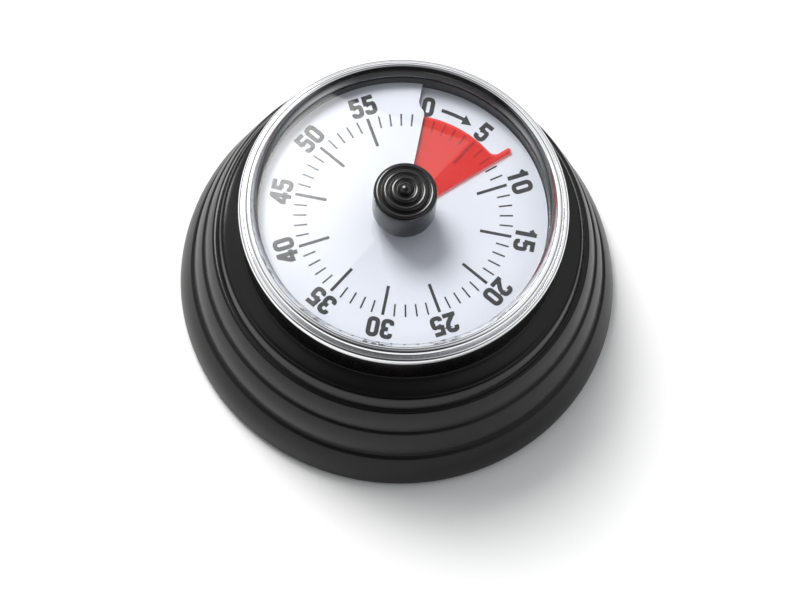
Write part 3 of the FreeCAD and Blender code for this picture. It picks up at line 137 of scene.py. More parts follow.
scratches.links.new(thin.outputs["Result"], scratches_out.inputs["Mask"])


def place_group(tree, group, **settings):
    """One of the shared groups, placed in a material's tree."""
    made = tree.nodes.new("ShaderNodeGroup")
    made.node_tree = group
    for label, value in settings.items():
        made.inputs[label.replace("_", " ")].default_value = value
    return made


# The Mix node's sockets for colours, by their number: several sockets share a name.
first_tone = 6
second_tone = 7
mixed_tone = 2


def two_tones(tree, texture, colour, shade):
    """A colour that drifts from one tone to another over the surface."""
    tone = tree.nodes.new("ShaderNodeMix")
    tone.data_type = "RGBA"
    tree.links.new(texture.outputs["Drift"], tone.inputs[0])
    tone.inputs[first_tone].default_value = (*colour, 1)
    tone.inputs[second_tone].default_value = (*shade, 1)
    return tone.outputs[mixed_tone]


tone_drift = 120
relief_depth = 0.02 * MM


def finish_of(name, colour, shade, gloss=(0.3, 0.4), grain=4000, bump=0.02, metal=0.0, lines=0.0,
              worn=0.0, specular=0.5):
    """A material whose colour and gloss drift between two values each, with fine grain and, where
    asked for, turning lines and scratches."""
    material = bpy.data.materials.new(name)
    material.use_nodes = True
    tree = material.node_tree
    surface = tree.nodes["Principled BSDF"]
    surface.inputs["Metallic"].default_value = metal
    surface.inputs["Specular IOR Level"].default_value = specular
    texture = place_group(tree, skin, Grain_Scale=grain, Drift_Scale=tone_drift, Gloss_Low=gloss[0],
                          Gloss_High=gloss[1])
    tree.links.new(two_tones(tree, texture, colour, shade), surface.inputs["Base Color"])
    rough = texture.outputs["Roughness"]
    if worn:
        marks = place_group(tree, scratches, Amount=worn)
        rough = node(tree, "ShaderNodeMath", "ADD", _0=rough, _1=marks.outputs["Mask"]).outputs["Value"]
    tree.links.new(rough, surface.inputs["Roughness"])
    height = texture.outputs["Height"]
    if lines:
        turned_lines = place_group(tree, rings)
        height = node(tree, "ShaderNodeMath", "MULTIPLY_ADD", _0=turned_lines.outputs["Height"], _1=lines,
                      _2=height).outputs["Value"]
    relief = node(tree, "ShaderNodeBump", Height=height, Strength=bump, Distance=relief_depth)
    tree.links.new(relief.outputs["Normal"], surface.inputs["Normal"])
    return material


def dress(material, *names):
    """Give CAD nodes a material."""
    for name in names:
        for slot in nodes[name].material_slots:
            slot.material = material


plate_brass = finish_of("rolled_plate_brass", colour=(0.62, 0.45, 0.17), shade=(0.55, 0.38, 0.14),
                        gloss=(0.3, 0.42), metal=1.0, worn=0.2)
dress(plate_brass, "front_plate", "back_plate")

# ---------------------------------------------------------------------------------------------
# Arbors, pinions, pillars, posts and pins: turned from steel rod and ground bright.  The arbors
# run in the plates' holes, and pins and posts are pressed or riveted in.  The hammer's lead head
# has the same finish.
# ---------------------------------------------------------------------------------------------
arbor_steel = finish_of("ground_arbor_steel", colour=(0.5, 0.5, 0.51), shade=(0.42, 0.42, 0.44),
                        gloss=(0.15, 0.3), metal=1.0)
dress(arbor_steel, "main_arbor", "second_pinion", "third_pinion", "escape_pinion", "anchor_arbor",
      "hammer_arbor", "trip_arbor", "pallet_pins", "spring_post", "bell_post", "click_pin", "pillars",
      "hammer_head")

# ---------------------------------------------------------------------------------------------
# Wheels, cam, anchor and bush: brass, blanked or turned, and the wheels' teeth cut afterwards.
# The train's wheels are riveted on their pinions, and the bush guides the winding arbor.
# ---------------------------------------------------------------------------------------------
wheel_brass = finish_of("cut_wheel_brass", colour=(0.70, 0.52, 0.21), shade=(0.62, 0.44, 0.17),
                        gloss=(0.18, 0.3), metal=1.0, worn=0.15)
dress(wheel_brass, "main_wheel", "second_wheel", "third_wheel", "escape_wheel", "ratchet_wheel",
      "strike_star", "trip_cam", "pallet_anchor", "arbor_bush")

# ---------------------------------------------------------------------------------------------
# Mainspring and click spring: hardened steel strip, blued by heat.  The mainspring is coiled
# between the winding arbor and a post, and the click spring presses the click on its ratchet.
# ---------------------------------------------------------------------------------------------
blue_steel = finish_of("blued_spring_steel", colour=(0.05, 0.07, 0.14), shade=(0.10, 0.09, 0.12),
                       gloss=(0.2, 0.35), metal=1.0, worn=0.2)
dress(blue_steel, "mainspring", "click_spring")

# ---------------------------------------------------------------------------------------------
# Levers, finger and click: stamped from steel sheet and left as they come from the tool.  They
# ride on their arbors, and the click on its pin.
# ---------------------------------------------------------------------------------------------
lever_steel = finish_of("stamped_lever_steel", colour=(0.45, 0.45, 0.46), shade=(0.36, 0.36, 0.38),
                        gloss=(0.3, 0.45), metal=1.0, worn=0.3)
dress(lever_steel, "hammer_arm", "hammer_tail", "stop_finger", "trip_lever", "click")

# ---------------------------------------------------------------------------------------------
# Bell: a cup pressed from steel sheet and polished, held at its middle by one screw in a post,
# so that its rim rings free.
# ---------------------------------------------------------------------------------------------
bell_steel = finish_of("pressed_bell_steel", colour=(0.52, 0.52, 0.53), shade=(0.42, 0.43, 0.45),
                       gloss=(0.12, 0.25), metal=1.0, worn=0.25)
dress(bell_steel, "bell")

# ---------------------------------------------------------------------------------------------
# Screws: small steel screws with rolled threads, zinc plated.  They hold the plates, the
# movement, the dial carrier, the back cover and the bell.
# ---------------------------------------------------------------------------------------------
screw_steel = finish_of("plated_screw_steel", colour=(0.55, 0.55, 0.56), shade=(0.45, 0.45, 0.47),
                        gloss=(0.25, 0.4), metal=1.0, worn=0.3)
dress(screw_steel, "pillar_screws", "plate_screws", "carrier_screws", "cover_screws", "bell_screw")

# ---------------------------------------------------------------------------------------------
# Dial carrier: a short black moulded tube, screwed in the case.  It holds the dial on its seat
# and is the dark wall between dial and window.
# ---------------------------------------------------------------------------------------------
carrier_black = finish_of("satin_black_moulding", colour=(0.022, 0.022, 0.024),
                          shade=(0.03, 0.03, 0.032), gloss=(0.4, 0.5))
dress(carrier_black, "dial_carrier")

# ---------------------------------------------------------------------------------------------
# Dial: a white moulded disc that climbs one pitch in a turn, so that its two edges at minute 0
# stand apart and leave a slit.
# ---------------------------------------------------------------------------------------------
dial_white = finish_of("satin_white_moulding", colour=(0.665, 0.695, 0.76), shade=(0.65, 0.68, 0.75),
                       gloss=(0.4, 0.5), bump=0.01)
dress(dial_white, "dial")

# ---------------------------------------------------------------------------------------------
# Dial print: charcoal ink, screened on the dial.  Minute strokes, longer ones each five minutes,
# numbers outside them and a curved arrow that says which way the knob is wound.
# ---------------------------------------------------------------------------------------------
dial_pitch = 1.2 * MM
dial_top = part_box("dial")[1].z - dial_pitch
ink_depth = 0.03 * MM
ink_lift = ink_depth / 4
dial_minutes = 60
number_every = 5
minute_degrees = 6

# Plan sizes of the print, in millimetres, and the arrow's places in minutes.
stroke_outer = 17.25
minute_inner = 15.15
five_inner = 12.26
minute_stroke = 0.26
five_stroke = 0.48
number_middle = 19.45
digit_height = 3.4
digit_width = 2.0
digit_stroke = 0.72
digit_gap = 0.2
zero_shift = 0.35
arrow_middle = 19.45
arrow_stroke = 0.6
arrow_start = 1.25
arrow_neck = 3.1
arrow_tip = 3.9
arrow_head = 1.75
arrow_tip_inward = 0.25
arrow_steps = 12


def minute_angle(minute):
    """The plan angle of a minute of the dial, in radians from +X."""
    return math.radians(90 - minute_degrees * minute)


ink = bmesh.new()
for minute in range(dial_minutes):
    five = minute % number_every == 0
    inner = five_inner if five else minute_inner
    stroke = five_stroke if five else minute_stroke
    size = Matrix.Diagonal(((stroke_outer - inner) * MM, stroke * MM, ink_depth, 1))
    middle = Matrix.Translation(((stroke_outer + inner) / 2 * MM, 0, 0))
    turn = Matrix.Rotation(minute_angle(minute), 4, "Z")
    bmesh.ops.create_cube(ink, size=1, matrix=turn @ middle @ size)

corner_steps = 5
sharpest_mitre = 0.5


def rounded(points, radius, closed=False):
    """A line through points, with its corners rounded."""
    count = len(points)
    line = []
    for index, point in enumerate(points):
        corner = Vector(point)
        if not closed and index in (0, count - 1):
            line.append(corner)
            continue
        before = Vector(points[index - 1]) - corner
        after = Vector(points[(index + 1) % count]) - corner
        start = corner + before.normalized() * min(radius, before.length / 2)
        end = corner + after.normalized() * min(radius, after.length / 2)
        for step in range(corner_steps + 1):
            along = step / corner_steps
            line.append(start * (1 - along) ** 2 + corner * 2 * along * (1 - along) + end * along**2)
    return line


def raise_faces(shape, faces, height):
    """Give flat faces their thickness, and turn all the shape's faces outwards."""
    raised = bmesh.ops.extrude_face_region(shape, geom=faces)
    top = [item for item in raised["geom"] if isinstance(item, bmesh.types.BMVert)]
    bmesh.ops.translate(shape, vec=(0, 0, height), verts=top)
    bmesh.ops.recalc_face_normals(shape, faces=shape.faces)


def add_to_ink(shape, name, matrix):
    """Put a finished shape in the ink, at its place."""
    mesh = bpy.data.meshes.new(name)
    shape.to_mesh(mesh)
    shape.free()
    mesh.transform(matrix)
    ink.from_mesh(mesh)
    bpy.data.meshes.remove(mesh)


def add_stroke(line, closed, matrix):
    """A stroke of even width along a line, as thick as the ink."""
    shape = bmesh.new()
    pairs = []
    count = len(line)
    for index, point in enumerate(line):
        before = line[index - 1] if index or closed else None
        after = line[(index + 1) % count] if index < count - 1 or closed else None
        into = (point - before).normalized() if before else (after - point).normalized()
        onward = (after - point).normalized() if after else into
        heading = (into + onward).normalized()
        mitre = max(heading.dot(into), sharpest_mitre)
        across = Vector((-heading.y, heading.x)) * digit_stroke / 2 / mitre
        pairs.append([shape.verts.new((*(point + side * across), 0)) for side in (1, -1)])
    for index in range(count if closed else count - 1):
        left, right = pairs[index]
        next_left, next_right = pairs[(index + 1) % count]
        shape.faces.new((left, right, next_right, next_left))
    bmesh.ops.remove_doubles(shape, verts=shape.verts, dist=digit_stroke / 100)
    raise_faces(shape, list(shape.faces), 1)
    add_to_ink(shape, "stroke", matrix)


# Strokes of the numbers' figures, in millimetres about each figure's middle: the points that a
# stroke follows, the radius of its corners, and whether it closes.
half_width = (digit_width - digit_stroke) / 2
half_height = (digit_height - digit_stroke) / 2
cap = digit_stroke / 2
curl = half_width * 0.95
figures = {
    "0": [
        ([(-half_width, -half_height), (half_width, -half_height), (half_width, half_height),
          (-half_width, half_height)], curl, True),
    ],
    "1": [
        ([(0.2, -half_height - cap), (0.2, half_height + cap)], 0, False),
        ([(0.2, half_height - 0.1), (-0.55, half_height - 0.65)], 0, False),
    ],
    "2": [
        ([(-half_width, half_height - 0.75), (-half_width, half_height), (half_width, half_height),
          (half_width, 0.15), (-half_width, -half_height)], curl, False),
        ([(-half_width - cap, -half_height), (half_width + cap, -half_height)], 0, False),
    ],
    "3": [
        ([(-half_width, half_height - 0.65), (-half_width, half_height), (half_width, half_height),
          (half_width, 0.05), (-0.2, 0.05)], curl, False),
        ([(-0.2, 0.05), (half_width, 0.05), (half_width, -half_height), (-half_width, -half_height),
          (-half_width, 0.65 - half_height)], curl, False),
    ],
    "4": [
        ([(0.42, half_height + cap), (0.42, -half_height - cap)], 0, False),
        ([(0.3, half_height + 0.1), (-half_width - 0.1, -0.5)], 0, False),
        ([(-half_width - cap, -0.65), (half_width + cap + 0.05, -0.65)], 0, False),
    ],
    "5": [
        ([(half_width + 0.2, half_height), (0.1 - half_width, half_height), (-half_width, -0.05)],
         0, False),
        ([(-half_width, 0.0), (-0.1, 0.24), (half_width, 0.24), (half_width, -half_height),
          (-half_width, -half_height), (-half_width, 0.6 - half_height)], curl, False),
    ],
}
for number in range(0, dial_minutes, number_every):
    digits = str(number)
    turn = Matrix.Rotation(minute_angle(number) - math.pi / 2, 4, "Z")
    for index, character in enumerate(digits):
        aside = (index - (len(digits) - 1) / 2) * (digit_width + digit_gap)
        aside += zero_shift if number == 0 else 0
        spot = Matrix.Translation((aside * MM, number_middle * MM, -ink_depth / 2))
        for points, radius, closed in figures[character]:
            line = rounded(points, radius, closed) if radius else [Vector(point) for point in points]
            add_stroke(line, closed, turn @ spot @ Matrix.Diagonal((MM, MM, ink_depth, 1)))


def arrow_point(minute, radius, up=0):
    """A point of the arrow, by its minute, its radius in millimetres and its height in metres."""
    angle = minute_angle(minute)
    return Vector((radius * MM * math.cos(angle), radius * MM * math.sin(angle), up))


arrow = bmesh.new()
shaft_corners = [
    arrow.verts.new(arrow_point(arrow_start, arrow_middle + side * arrow_stroke / 2, up * ink_depth / 2))
    for side, up in ((-1, -1), (1, -1), (1, 1), (-1, 1))
]
shaft_end = arrow.faces.new(shaft_corners)
bmesh.ops.spin(arrow, geom=[shaft_end] + shaft_corners + list(shaft_end.edges), cent=(0, 0, 0),
               axis=(0, 0, 1), angle=minute_angle(arrow_neck) - minute_angle(arrow_start),
               steps=arrow_steps, use_merge=False)
head_face = arrow.faces.new([
    arrow.verts.new(arrow_point(minute, radius, -ink_depth / 2))
    for minute, radius in (
        (arrow_neck, arrow_middle - arrow_head / 2),
        (arrow_neck, arrow_middle + arrow_head / 2),
        (arrow_tip, arrow_middle - arrow_tip_inward),
    )
])
raise_faces(arrow, [head_face], ink_depth)
add_to_ink(arrow, "arrow", Matrix.Identity(4))

# The print follows the dial's climb.  What lies just before the slit is the left half of the
# strokes at minute 0, and stays at their level.
slit_side = math.radians(357)
for vertex in ink.verts:
    turned_by = (math.pi / 2 - math.atan2(vertex.co.y, vertex.co.x)) % (2 * math.pi)
    if turned_by > slit_side:
        turned_by = 0
    vertex.co.z += dial_top + dial_pitch * turned_by / (2 * math.pi) + ink_lift
ink_data = bpy.data.meshes.new("dial_print")
ink.to_mesh(ink_data)
ink.free()
dial_print = bpy.data.objects.new("dial_print", ink_data)
scene.collection.objects.link(dial_print)
charcoal = finish_of("charcoal_screen_ink", colour=(0.014, 0.015, 0.018), shade=(0.022, 0.023, 0.026),
                     gloss=(0.5, 0.6), bump=0.01, specular=0.25)
ink_data.materials.append(charcoal)
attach(dial_print, "case")

# ---------------------------------------------------------------------------------------------
# Red disc: cut from translucent red film, with a tab that points to the minute.  It is fixed to
# its hub, and climbs through the dial's slit as it turns.
# ---------------------------------------------------------------------------------------------
film_clearness = 0.72
film_tint = (0.97, 0.33, 0.29, 1)
film_colour = (0.84, 0.022, 0.014)
film_shade = (0.78, 0.018, 0.012)
film_red = bpy.data.materials.new("translucent_red_film")
film_red.use_nodes = True
tree = film_red.node_tree
surface = tree.nodes["Principled BSDF"]
texture = place_group(tree, skin, Grain_Scale=2500, Drift_Scale=90, Gloss_Low=0.25, Gloss_High=0.34)
tree.links.new(two_tones(tree, texture, film_colour, film_shade), surface.inputs["Base Color"])
tree.links.new(texture.outputs["Roughness"], surface.inputs["Roughness"])
tinted = node(tree, "ShaderNodeBsdfTransparent", Color=film_tint)
film_mix = node(tree, "ShaderNodeMixShader", _0=film_clearness, _1=surface.outputs["BSDF"],
                _2=tinted.outputs["BSDF"])
tree.links.new(film_mix.outputs["Shader"], tree.nodes["Material Output"].inputs["Surface"])
dress(film_red, "indicator_disc")

# ---------------------------------------------------------------------------------------------
# Red disc's hub: a small dark red moulding that carries the film.  It turns with the winding
# arbor and slides along it.
# ---------------------------------------------------------------------------------------------
hub_red = finish_of("moulded_hub", colour=(0.5, 0.05, 0.04), shade=(0.45, 0.05, 0.04), gloss=(0.4, 0.5))
dress(hub_red, "indicator_hub")

# ---------------------------------------------------------------------------------------------
# Housing: one black moulded shell with three stepped bands, a ring above them and a tall collar.
# The bands are satin and the rest is glossy, and soft valleys lie where the steps meet.
# ---------------------------------------------------------------------------------------------
arc_step = 14
fewest_arc_steps = 3
hard_edge = math.radians(20)
merge_distance = 0.0005 * MM
edge_segments = 2
rounding_levels = 1


def turned(name, corners, body, node_name, material, sides=128, edge=0.1, closed=True):
    """A piece turned about the timer's axis from its half outline, in millimetres.  A corner is
    (radius, height), or (radius, height, curve) where an arc of that radius leads to it, bulging
    out (+) or in (-).  Its hard edges are rounded."""
    shape = bmesh.new()
    first = last = shape.verts.new((corners[0][0] * MM, 0, corners[0][1] * MM))
    for corner in corners[1:]:
        end = Vector((corner[0] * MM, 0, corner[1] * MM))
        if len(corner) == 2:
            following = shape.verts.new(end)
            shape.edges.new((last, following))
            last = following
            continue
        chord = end - last.co
        curve = abs(corner[2]) * MM
        side = -1 if corner[2] > 0 else 1
        across = Vector((-chord.z, 0, chord.x)).normalized() * side
        centre = (last.co + end) / 2 - across * math.sqrt(max(curve**2 - chord.length**2 / 4, 0))
        sweep = 2 * math.asin(min(chord.length / 2 / curve, 1)) * side
        steps = max(fewest_arc_steps, round(abs(math.degrees(sweep)) / arc_step))
        made = bmesh.ops.spin(shape, geom=[last], cent=centre, axis=(0, 1, 0), angle=sweep, steps=steps,
                              use_merge=False)
        last = next(item for item in made["geom_last"] if isinstance(item, bmesh.types.BMVert))
    if closed:
        shape.edges.new((last, first))
    outline = list(shape.verts) + list(shape.edges)
    bmesh.ops.spin(shape, geom=outline, cent=(0, 0, 0), axis=(0, 0, 1), angle=2 * math.pi, steps=sides,
                   use_merge=True)
    bmesh.ops.remove_doubles(shape, verts=shape.verts, dist=merge_distance)
    bmesh.ops.recalc_face_normals(shape, faces=shape.faces)
    hard = [item for item in shape.edges if item.calc_face_angle(0) > hard_edge]
    bmesh.ops.bevel(shape, geom=hard, offset=edge * MM, offset_type="OFFSET", segments=edge_segments,
                    profile=0.5, affect="EDGES", clamp_overlap=True, material=-1)
    data = bpy.data.meshes.new(name)
    shape.to_mesh(data)
    shape.free()
    data.polygons.foreach_set("use_smooth", [True] * len(data.polygons))
    data.materials.append(material)
    piece = bpy.data.objects.new(name, data)
    scene.collection.objects.link(piece)
    rounding = piece.modifiers.new("rounding", "SUBSURF")
    rounding.levels = rounding_levels
    rounding.render_levels = rounding_levels
    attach(piece, body)
    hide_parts(node_name)


# Sizes of the shell, in millimetres: (radius, height) of each edge, from the mouth up and back.
mouth_radius = 33.655
mouth_height = 0.4
band_bulge = 12
collar_radius = 25.455
collar_top = 28.6
spigot_radius = 25.005
spigot_top = 29.2
collar_bore = 24.355
roof_height = 20.35
housing_corners = [
    # The base band, on a rounded foot.
    (mouth_radius, mouth_height), (34.34, mouth_height), (34.94, 1.0, 0.6), (33.32, 6.9, band_bulge),
    # The first valley and the middle band.
    (33.006, 7.164, 0.6), (32.678, 7.658, -0.5), (31.552, 13.2, band_bulge),
    # The second valley and the upper band.
    (31.271, 13.456, 0.5), (31.041, 13.765, -0.35), (29.967, 18.12, band_bulge),
    # The step up to the ring, and the ring.
    (29.53, 18.454, 0.6), (29.41, 18.475), (29.091, 18.776, -0.4), (28.722, 20.3), (27.822, 21.2, 0.9),
    # The ledge, the collar and the spigot that the bezel is pressed over.
    (25.855, 22.1), (collar_radius, 22.5, -0.4), (collar_radius, collar_top),
    (spigot_radius, collar_top), (spigot_radius, spigot_top), (collar_bore, spigot_top),
    # The inside, down to the mouth again.
    (collar_bore, roof_height), (27.422, roof_height), (27.805, 18.25), (29.755, 13.3), (31.355, 7.1),
    (mouth_radius, 2.3),
]
case_black = finish_of("soft_gloss_black_moulding", colour=(0.0045, 0.0042, 0.0042),
                       shade=(0.006, 0.0052, 0.005), gloss=(0.13, 0.19), worn=0.04, grain=2600,
                       specular=0.25)
turned("housing_shell", housing_corners, "case", "housing", case_black, edge=0.12)

satin_below = 17.8 * MM
gloss_above = 18.6 * MM
satin_roughness = 0.17
tree = case_black.node_tree
surface = tree.nodes["Principled BSDF"]
height_up = node(tree, "ShaderNodeSeparateXYZ", Vector=node(tree, "ShaderNodeTexCoord").outputs["Object"])
satin = node(tree, "ShaderNodeMapRange", Value=height_up.outputs["Z"], From_Min=satin_below,
             From_Max=gloss_above, To_Min=satin_roughness, To_Max=0.0)
polish = surface.inputs["Roughness"].links[0].from_socket
rough = node(tree, "ShaderNodeMath", "ADD", _0=polish, _1=satin.outputs["Result"])
tree.links.new(rough.outputs["Value"], surface.inputs["Roughness"])

# ---------------------------------------------------------------------------------------------
# Back cover: a black moulded disc of the housing's own plastic, held in its mouth by three
# screws, with cups for the magnets and a groove for the foot ring.
# ---------------------------------------------------------------------------------------------
dress(case_black, "back_cover")

# ---------------------------------------------------------------------------------------------
# Lens: a flat disc of clear acrylic with a round hole for the arbor, held under the bezel's lip.
# It mirrors and bends what is seen through it, and lets light through straight for the rest.
# ---------------------------------------------------------------------------------------------
acrylic_ior = 1.49
acrylic_tint = (0.93, 0.93, 0.94, 1)
clear = bpy.data.materials.new("clear_acrylic")
clear.use_nodes = True
tree = clear.node_tree
surface = tree.nodes["Principled BSDF"]
surface.inputs["Base Color"].default_value = (1, 1, 1, 1)
surface.inputs["Transmission Weight"].default_value = 1.0
surface.inputs["IOR"].default_value = acrylic_ior
texture = place_group(tree, skin, Grain_Scale=600, Drift_Scale=60, Gloss_Low=0.0, Gloss_High=0.015)
tree.links.new(texture.outputs["Roughness"], surface.inputs["Roughness"])
through = node(tree, "ShaderNodeBsdfTransparent", Color=acrylic_tint)
ray = node(tree, "ShaderNodeLightPath")
unseen = node(tree, "ShaderNodeMath", "MAXIMUM", _0=ray.outputs["Is Shadow Ray"],
              _1=ray.outputs["Is Diffuse Ray"])
choose = node(tree, "ShaderNodeMixShader", _0=unseen.outputs["Value"], _1=surface.outputs["BSDF"],
              _2=through.outputs["BSDF"])
tree.links.new(choose.outputs["Shader"], tree.nodes["Material Output"].inputs["Surface"])
dress(clear, "lens")

# ---------------------------------------------------------------------------------------------
# Bezel: a chrome plated ring pressed over the collar's spigot.  A bead and a groove lie round
# its outside, and its rounded crown slopes in to the lip that holds the lens.
# ---------------------------------------------------------------------------------------------
lip_height = 29.8
bezel_seat = 29.22
bezel_foot = 28.62
bezel_bore = 24.255
spigot_bore = 25.025
bead_radius = 25.905
groove_radius = 25.005
bezel_corners = [
    # Under the lip, over the spigot and down to the collar.
    (22.9, lip_height), (bezel_bore, lip_height), (bezel_bore, bezel_seat), (spigot_bore, bezel_seat),
    (spigot_bore, bezel_foot), (bead_radius, bezel_foot),
    # The bead and the groove.
    (bead_radius, 29.6), (25.255, 30.2, 0.68), (groove_radius, 30.0), (groove_radius, 30.4),
    # The crown and the slope inside it.
    (24.255, 31.4, 0.9), (23.955, 31.27, 0.9), (23.0, 30.12, -4.8), (22.85, 29.98),
]
chrome = finish_of("bright_chrome_plate", colour=(0.86, 0.86, 0.87), shade=(0.80, 0.80, 0.82),
                   gloss=(0.06, 0.11), metal=1.0, bump=0.01, lines=0.04, worn=0.02)
turned("bezel_ring", bezel_corners, "case", "bezel", chrome, edge=0.05)

# ---------------------------------------------------------------------------------------------
# Knob: a glossy black moulding pressed on the arbor, a plain drum whose top steps in by three
# round ridges to a dome.
# ---------------------------------------------------------------------------------------------
knob_radius = 5.0
knob_foot = 30.0
knob_shoulder = 36.05
ridge_count = 3
ridge_pitch = 1.22
ridge_rise = 0.38
ridge_curve = 0.69
dome_rise = 0.85
dome_curve = 1.43
knob_corners = [(0.0, knob_foot), (knob_radius, knob_foot), (knob_radius, knob_shoulder - ridge_rise / 3)]
for ridge in range(1, ridge_count + 1):
    knob_corners.append((knob_radius - ridge * ridge_pitch, knob_shoulder + ridge * ridge_rise, ridge_curve))
knob_corners.append((0.0, knob_shoulder + ridge_count * ridge_rise + dome_rise, dome_curve))
knob_black = finish_of("polished_black_moulding", colour=(0.005, 0.0045, 0.0045),
                       shade=(0.007, 0.006, 0.006), gloss=(0.12, 0.18), worn=0.05, grain=3000)
turned("knob_cap", knob_corners, "arbor", "knob", knob_black, sides=96, edge=0.12,
       closed=False)

# ---------------------------------------------------------------------------------------------
# Foot ring: a flat ring of black rubber, pressed in the cover's groove, that the timer stands on.
# It keeps the timer from sliding.
# ---------------------------------------------------------------------------------------------
foot_rubber = finish_of("foot_rubber", colour=(0.03, 0.03, 0.03), shade=(0.045, 0.044, 0.042),
                        gloss=(0.65, 0.8), bump=0.06)
dress(foot_rubber, "foot_ring")

# ---------------------------------------------------------------------------------------------
# Magnets: three nickel plated discs, glued in the cover's cups, that hold the timer on a steel
# door.
# ---------------------------------------------------------------------------------------------
nickel = finish_of("nickel_plate", colour=(0.6, 0.58, 0.54), shade=(0.52, 0.5, 0.47),
                   gloss=(0.12, 0.25), metal=1.0)
dress(nickel, "magnets")

# ---------------------------------------------------------------------------------------------
# Table: plain, matt and white, seen only from above.  It is open under the timer's middle, and a
# hair below its foot.
# ---------------------------------------------------------------------------------------------
table_reach = 3.0
table_hole = 24 * MM
table_gap = 0.02 * MM
table_sides = 64
table_tone = 0.92
table_roughness = 0.9
table = bmesh.new()
table_inner = table.verts.new((table_hole, 0, -table_gap))
table_outer = table.verts.new((table_reach, 0, -table_gap))
table_line = table.edges.new((table_inner, table_outer))
bmesh.ops.spin(table, geom=[table_inner, table_outer, table_line], cent=(0, 0, 0), axis=(0, 0, 1),
               angle=2 * math.pi, steps=table_sides, use_merge=True)
table.normal_update()
bmesh.ops.reverse_faces(table, faces=[item for item in table.faces if item.normal.z < 0])
table_data = bpy.data.meshes.new("table")
table.to_mesh(table_data)
table.free()
white_table = bpy.data.materials.new("white_table")
white_table.use_nodes = True
tree = white_table.node_tree
surface = tree.nodes["Principled BSDF"]
surface.inputs["Base Color"].default_value = (table_tone, table_tone, table_tone, 1)
surface.inputs["Roughness"].default_value = table_roughness
surface.inputs["Specular IOR Level"].default_value = 0.0
side_seen = node(tree, "ShaderNodeNewGeometry")
open_below = node(tree, "ShaderNodeBsdfTransparent")
one_sided = node(tree, "ShaderNodeMixShader", _0=side_seen.outputs["Backfacing"],
                 _1=surface.outputs["BSDF"], _2=open_below.outputs["BSDF"])
tree.links.new(one_sided.outputs["Shader"], tree.nodes["Material Output"].inputs["Surface"])
table_data.materials.append(white_table)
table_top = bpy.data.objects.new("table_top", table_data)
scene.collection.objects.link(table_top)

# ---------------------------------------------------------------------------------------------
# Soft box: a wide pale sheet of light high at the back left, brighter round its lamp.  It is
# what the window, the bezel and the knob mirror.
# ---------------------------------------------------------------------------------------------
lamp_white = (1.0, 0.995, 0.98)
box_height = 1.0
box_corner = Vector((-0.025, 0.461, box_height))
box_back = Vector((-0.987, 0.16, 0)) * 0.7
box_side = Vector((-0.5, -0.87, 0)) * 0.6
lamp_place = Vector((-0.102, 0.441, box_height))
lamp_reach = 0.062
lamp_strength = 6.0
sheet_strength = 1.0
soft_box_mesh = bmesh.new()
soft_box_mesh.faces.new([
    soft_box_mesh.verts.new(point)
    for point in (box_corner, box_corner + box_back, box_corner + box_back + box_side, box_corner + box_side)
])
soft_box_data = bpy.data.meshes.new("soft_box")
soft_box_mesh.to_mesh(soft_box_data)
soft_box_mesh.free()


def soft_step(tree, value, edges, levels):
    """A smooth change from one level to another, between two edges of a value."""
    step = node(tree, "ShaderNodeMapRange", Value=value, From_Min=edges[0], From_Max=edges[1],
                To_Min=levels[0], To_Max=levels[1])
    step.interpolation_type = "SMOOTHSTEP"
    return step.outputs["Result"]


glow = bpy.data.materials.new("soft_box_glow")
glow.use_nodes = True
tree = glow.node_tree
tree.nodes.clear()
glow_out = tree.nodes.new("ShaderNodeOutputMaterial")
where = node(tree, "ShaderNodeTexCoord").outputs["Object"]
from_lamp = node(tree, "ShaderNodeVectorMath", "DISTANCE", _0=where, _1=lamp_place)
glow_level = soft_step(tree, from_lamp.outputs["Value"], (0.0, lamp_reach), (lamp_strength, sheet_strength))
emit = node(tree, "ShaderNodeEmission", Color=(*lamp_white, 1), Strength=glow_level)
tree.links.new(emit.outputs["Emission"], glow_out.inputs["Surface"])
soft_box_data.materials.append(glow)
soft_box = bpy.data.objects.new("soft_box", soft_box_data)
scene.collection.objects.link(soft_box)

# ---------------------------------------------------------------------------------------------
# Key light: a square lamp beside the soft box, aimed at the timer.  It casts the soft shadow to
# the front right.
# ---------------------------------------------------------------------------------------------
key_size = 0.45
key_energy = 11.0
key_place = Vector((-0.43, 0.46, 0.87))
key_data = bpy.data.lights.new("key", "AREA")
key_data.shape = "RECTANGLE"
key_data.size = key_size
key_data.size_y = key_size
key_data.energy = key_energy
key_data.color = lamp_white
key = bpy.data.objects.new("key", key_data)
key.matrix_world = Matrix.Translation(key_place) @ key_place.to_track_quat("Z", "Y").to_matrix().to_4x4()
scene.collection.objects.link(key)

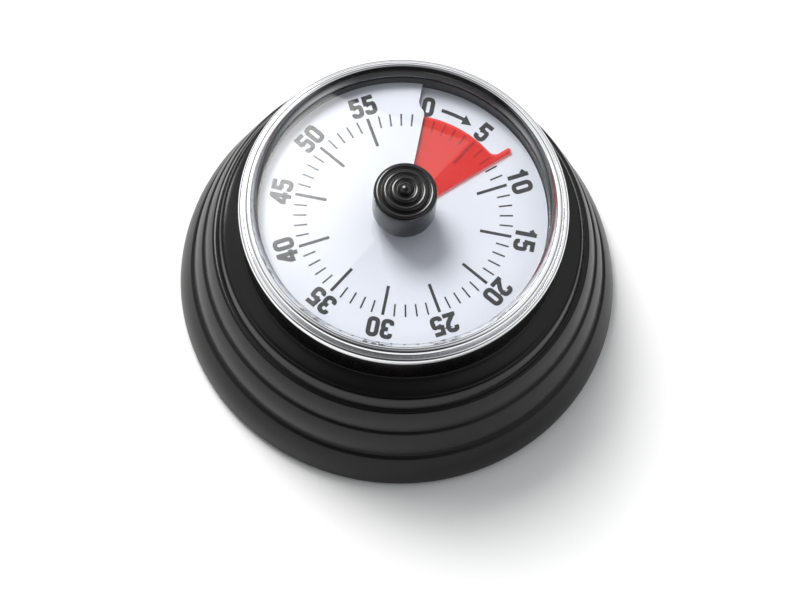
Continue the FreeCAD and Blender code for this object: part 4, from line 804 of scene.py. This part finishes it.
# ---------------------------------------------------------------------------------------------
# Room: pale walls at the sides and behind, dark overhead and in front, and a pale glow from
# below.  Edges are heights or depths of a direction of length 1, levels are brightness.
# ---------------------------------------------------------------------------------------------
wall_edges = (0.1, 0.62)
wall_levels = (0.08, 1.1)
ceiling_edges = (0.8, 0.93)
ceiling_levels = (1.0, 0.16)
front_edges = (-0.75, -0.3)
front_levels = (0.08, 1.0)
floor_edges = (-0.3, -0.05)
floor_glow = 0.8
room_tint = (0.97, 0.985, 1.0, 1)
room = bpy.data.worlds.new("studio_room")
room.use_nodes = True
tree = room.node_tree
facing = node(tree, "ShaderNodeTexCoord").outputs["Generated"]
heading = node(tree, "ShaderNodeSeparateXYZ", Vector=facing)
rising = soft_step(tree, heading.outputs["Z"], wall_edges, wall_levels)
topping = soft_step(tree, heading.outputs["Z"], ceiling_edges, ceiling_levels)
fronting = soft_step(tree, heading.outputs["Y"], front_edges, front_levels)
walls = node(tree, "ShaderNodeMath", "MULTIPLY", _0=rising, _1=topping)
around = node(tree, "ShaderNodeMath", "MULTIPLY", _0=walls.outputs["Value"], _1=fronting)
under = node(tree, "ShaderNodeMapRange", Value=heading.outputs["Z"], From_Min=floor_edges[0],
             From_Max=floor_edges[1], To_Min=floor_glow, To_Max=0.0)
bright = node(tree, "ShaderNodeMath", "ADD", _0=around.outputs["Value"], _1=under.outputs["Result"])
tree.links.new(bright.outputs["Value"], tree.nodes["Background"].inputs["Strength"])
tree.nodes["Background"].inputs["Color"].default_value = room_tint
scene.world = room

# ---------------------------------------------------------------------------------------------
# Camera: a long lens, high in front and a little to the right, turned slightly about its own
# line of sight.
# ---------------------------------------------------------------------------------------------
camera_data = bpy.data.cameras.new("camera")
camera_data.lens = 225
camera_data.sensor_width = 36
camera_data.clip_start = 0.05
camera_data.clip_end = 20
camera = bpy.data.objects.new("camera", camera_data)
azimuth = math.radians(5.67)
elevation = math.radians(67.07)
roll = math.radians(5.57)
distance = 795.72 * MM
aim_height = 13.5 * MM
slide_right = 0.01 * MM
slide_down = 7.92 * MM
back = Vector((math.sin(azimuth) * math.cos(elevation), -math.cos(azimuth) * math.cos(elevation),
               math.sin(elevation)))
right = Vector((math.cos(azimuth), math.sin(azimuth), 0))
above = back.cross(right)
across = right * math.cos(roll) + above * math.sin(roll)
upward = above * math.cos(roll) - right * math.sin(roll)
eye = Vector((0, 0, aim_height)) + back * distance + across * slide_right - upward * slide_down
camera.matrix_world = Matrix((
    (across.x, upward.x, back.x, eye.x),
    (across.y, upward.y, back.y, eye.y),
    (across.z, upward.z, back.z, eye.z),
    (0, 0, 0, 1),
))
scene.collection.objects.link(camera)
scene.camera = camera
scene.view_settings.view_transform = "Standard"
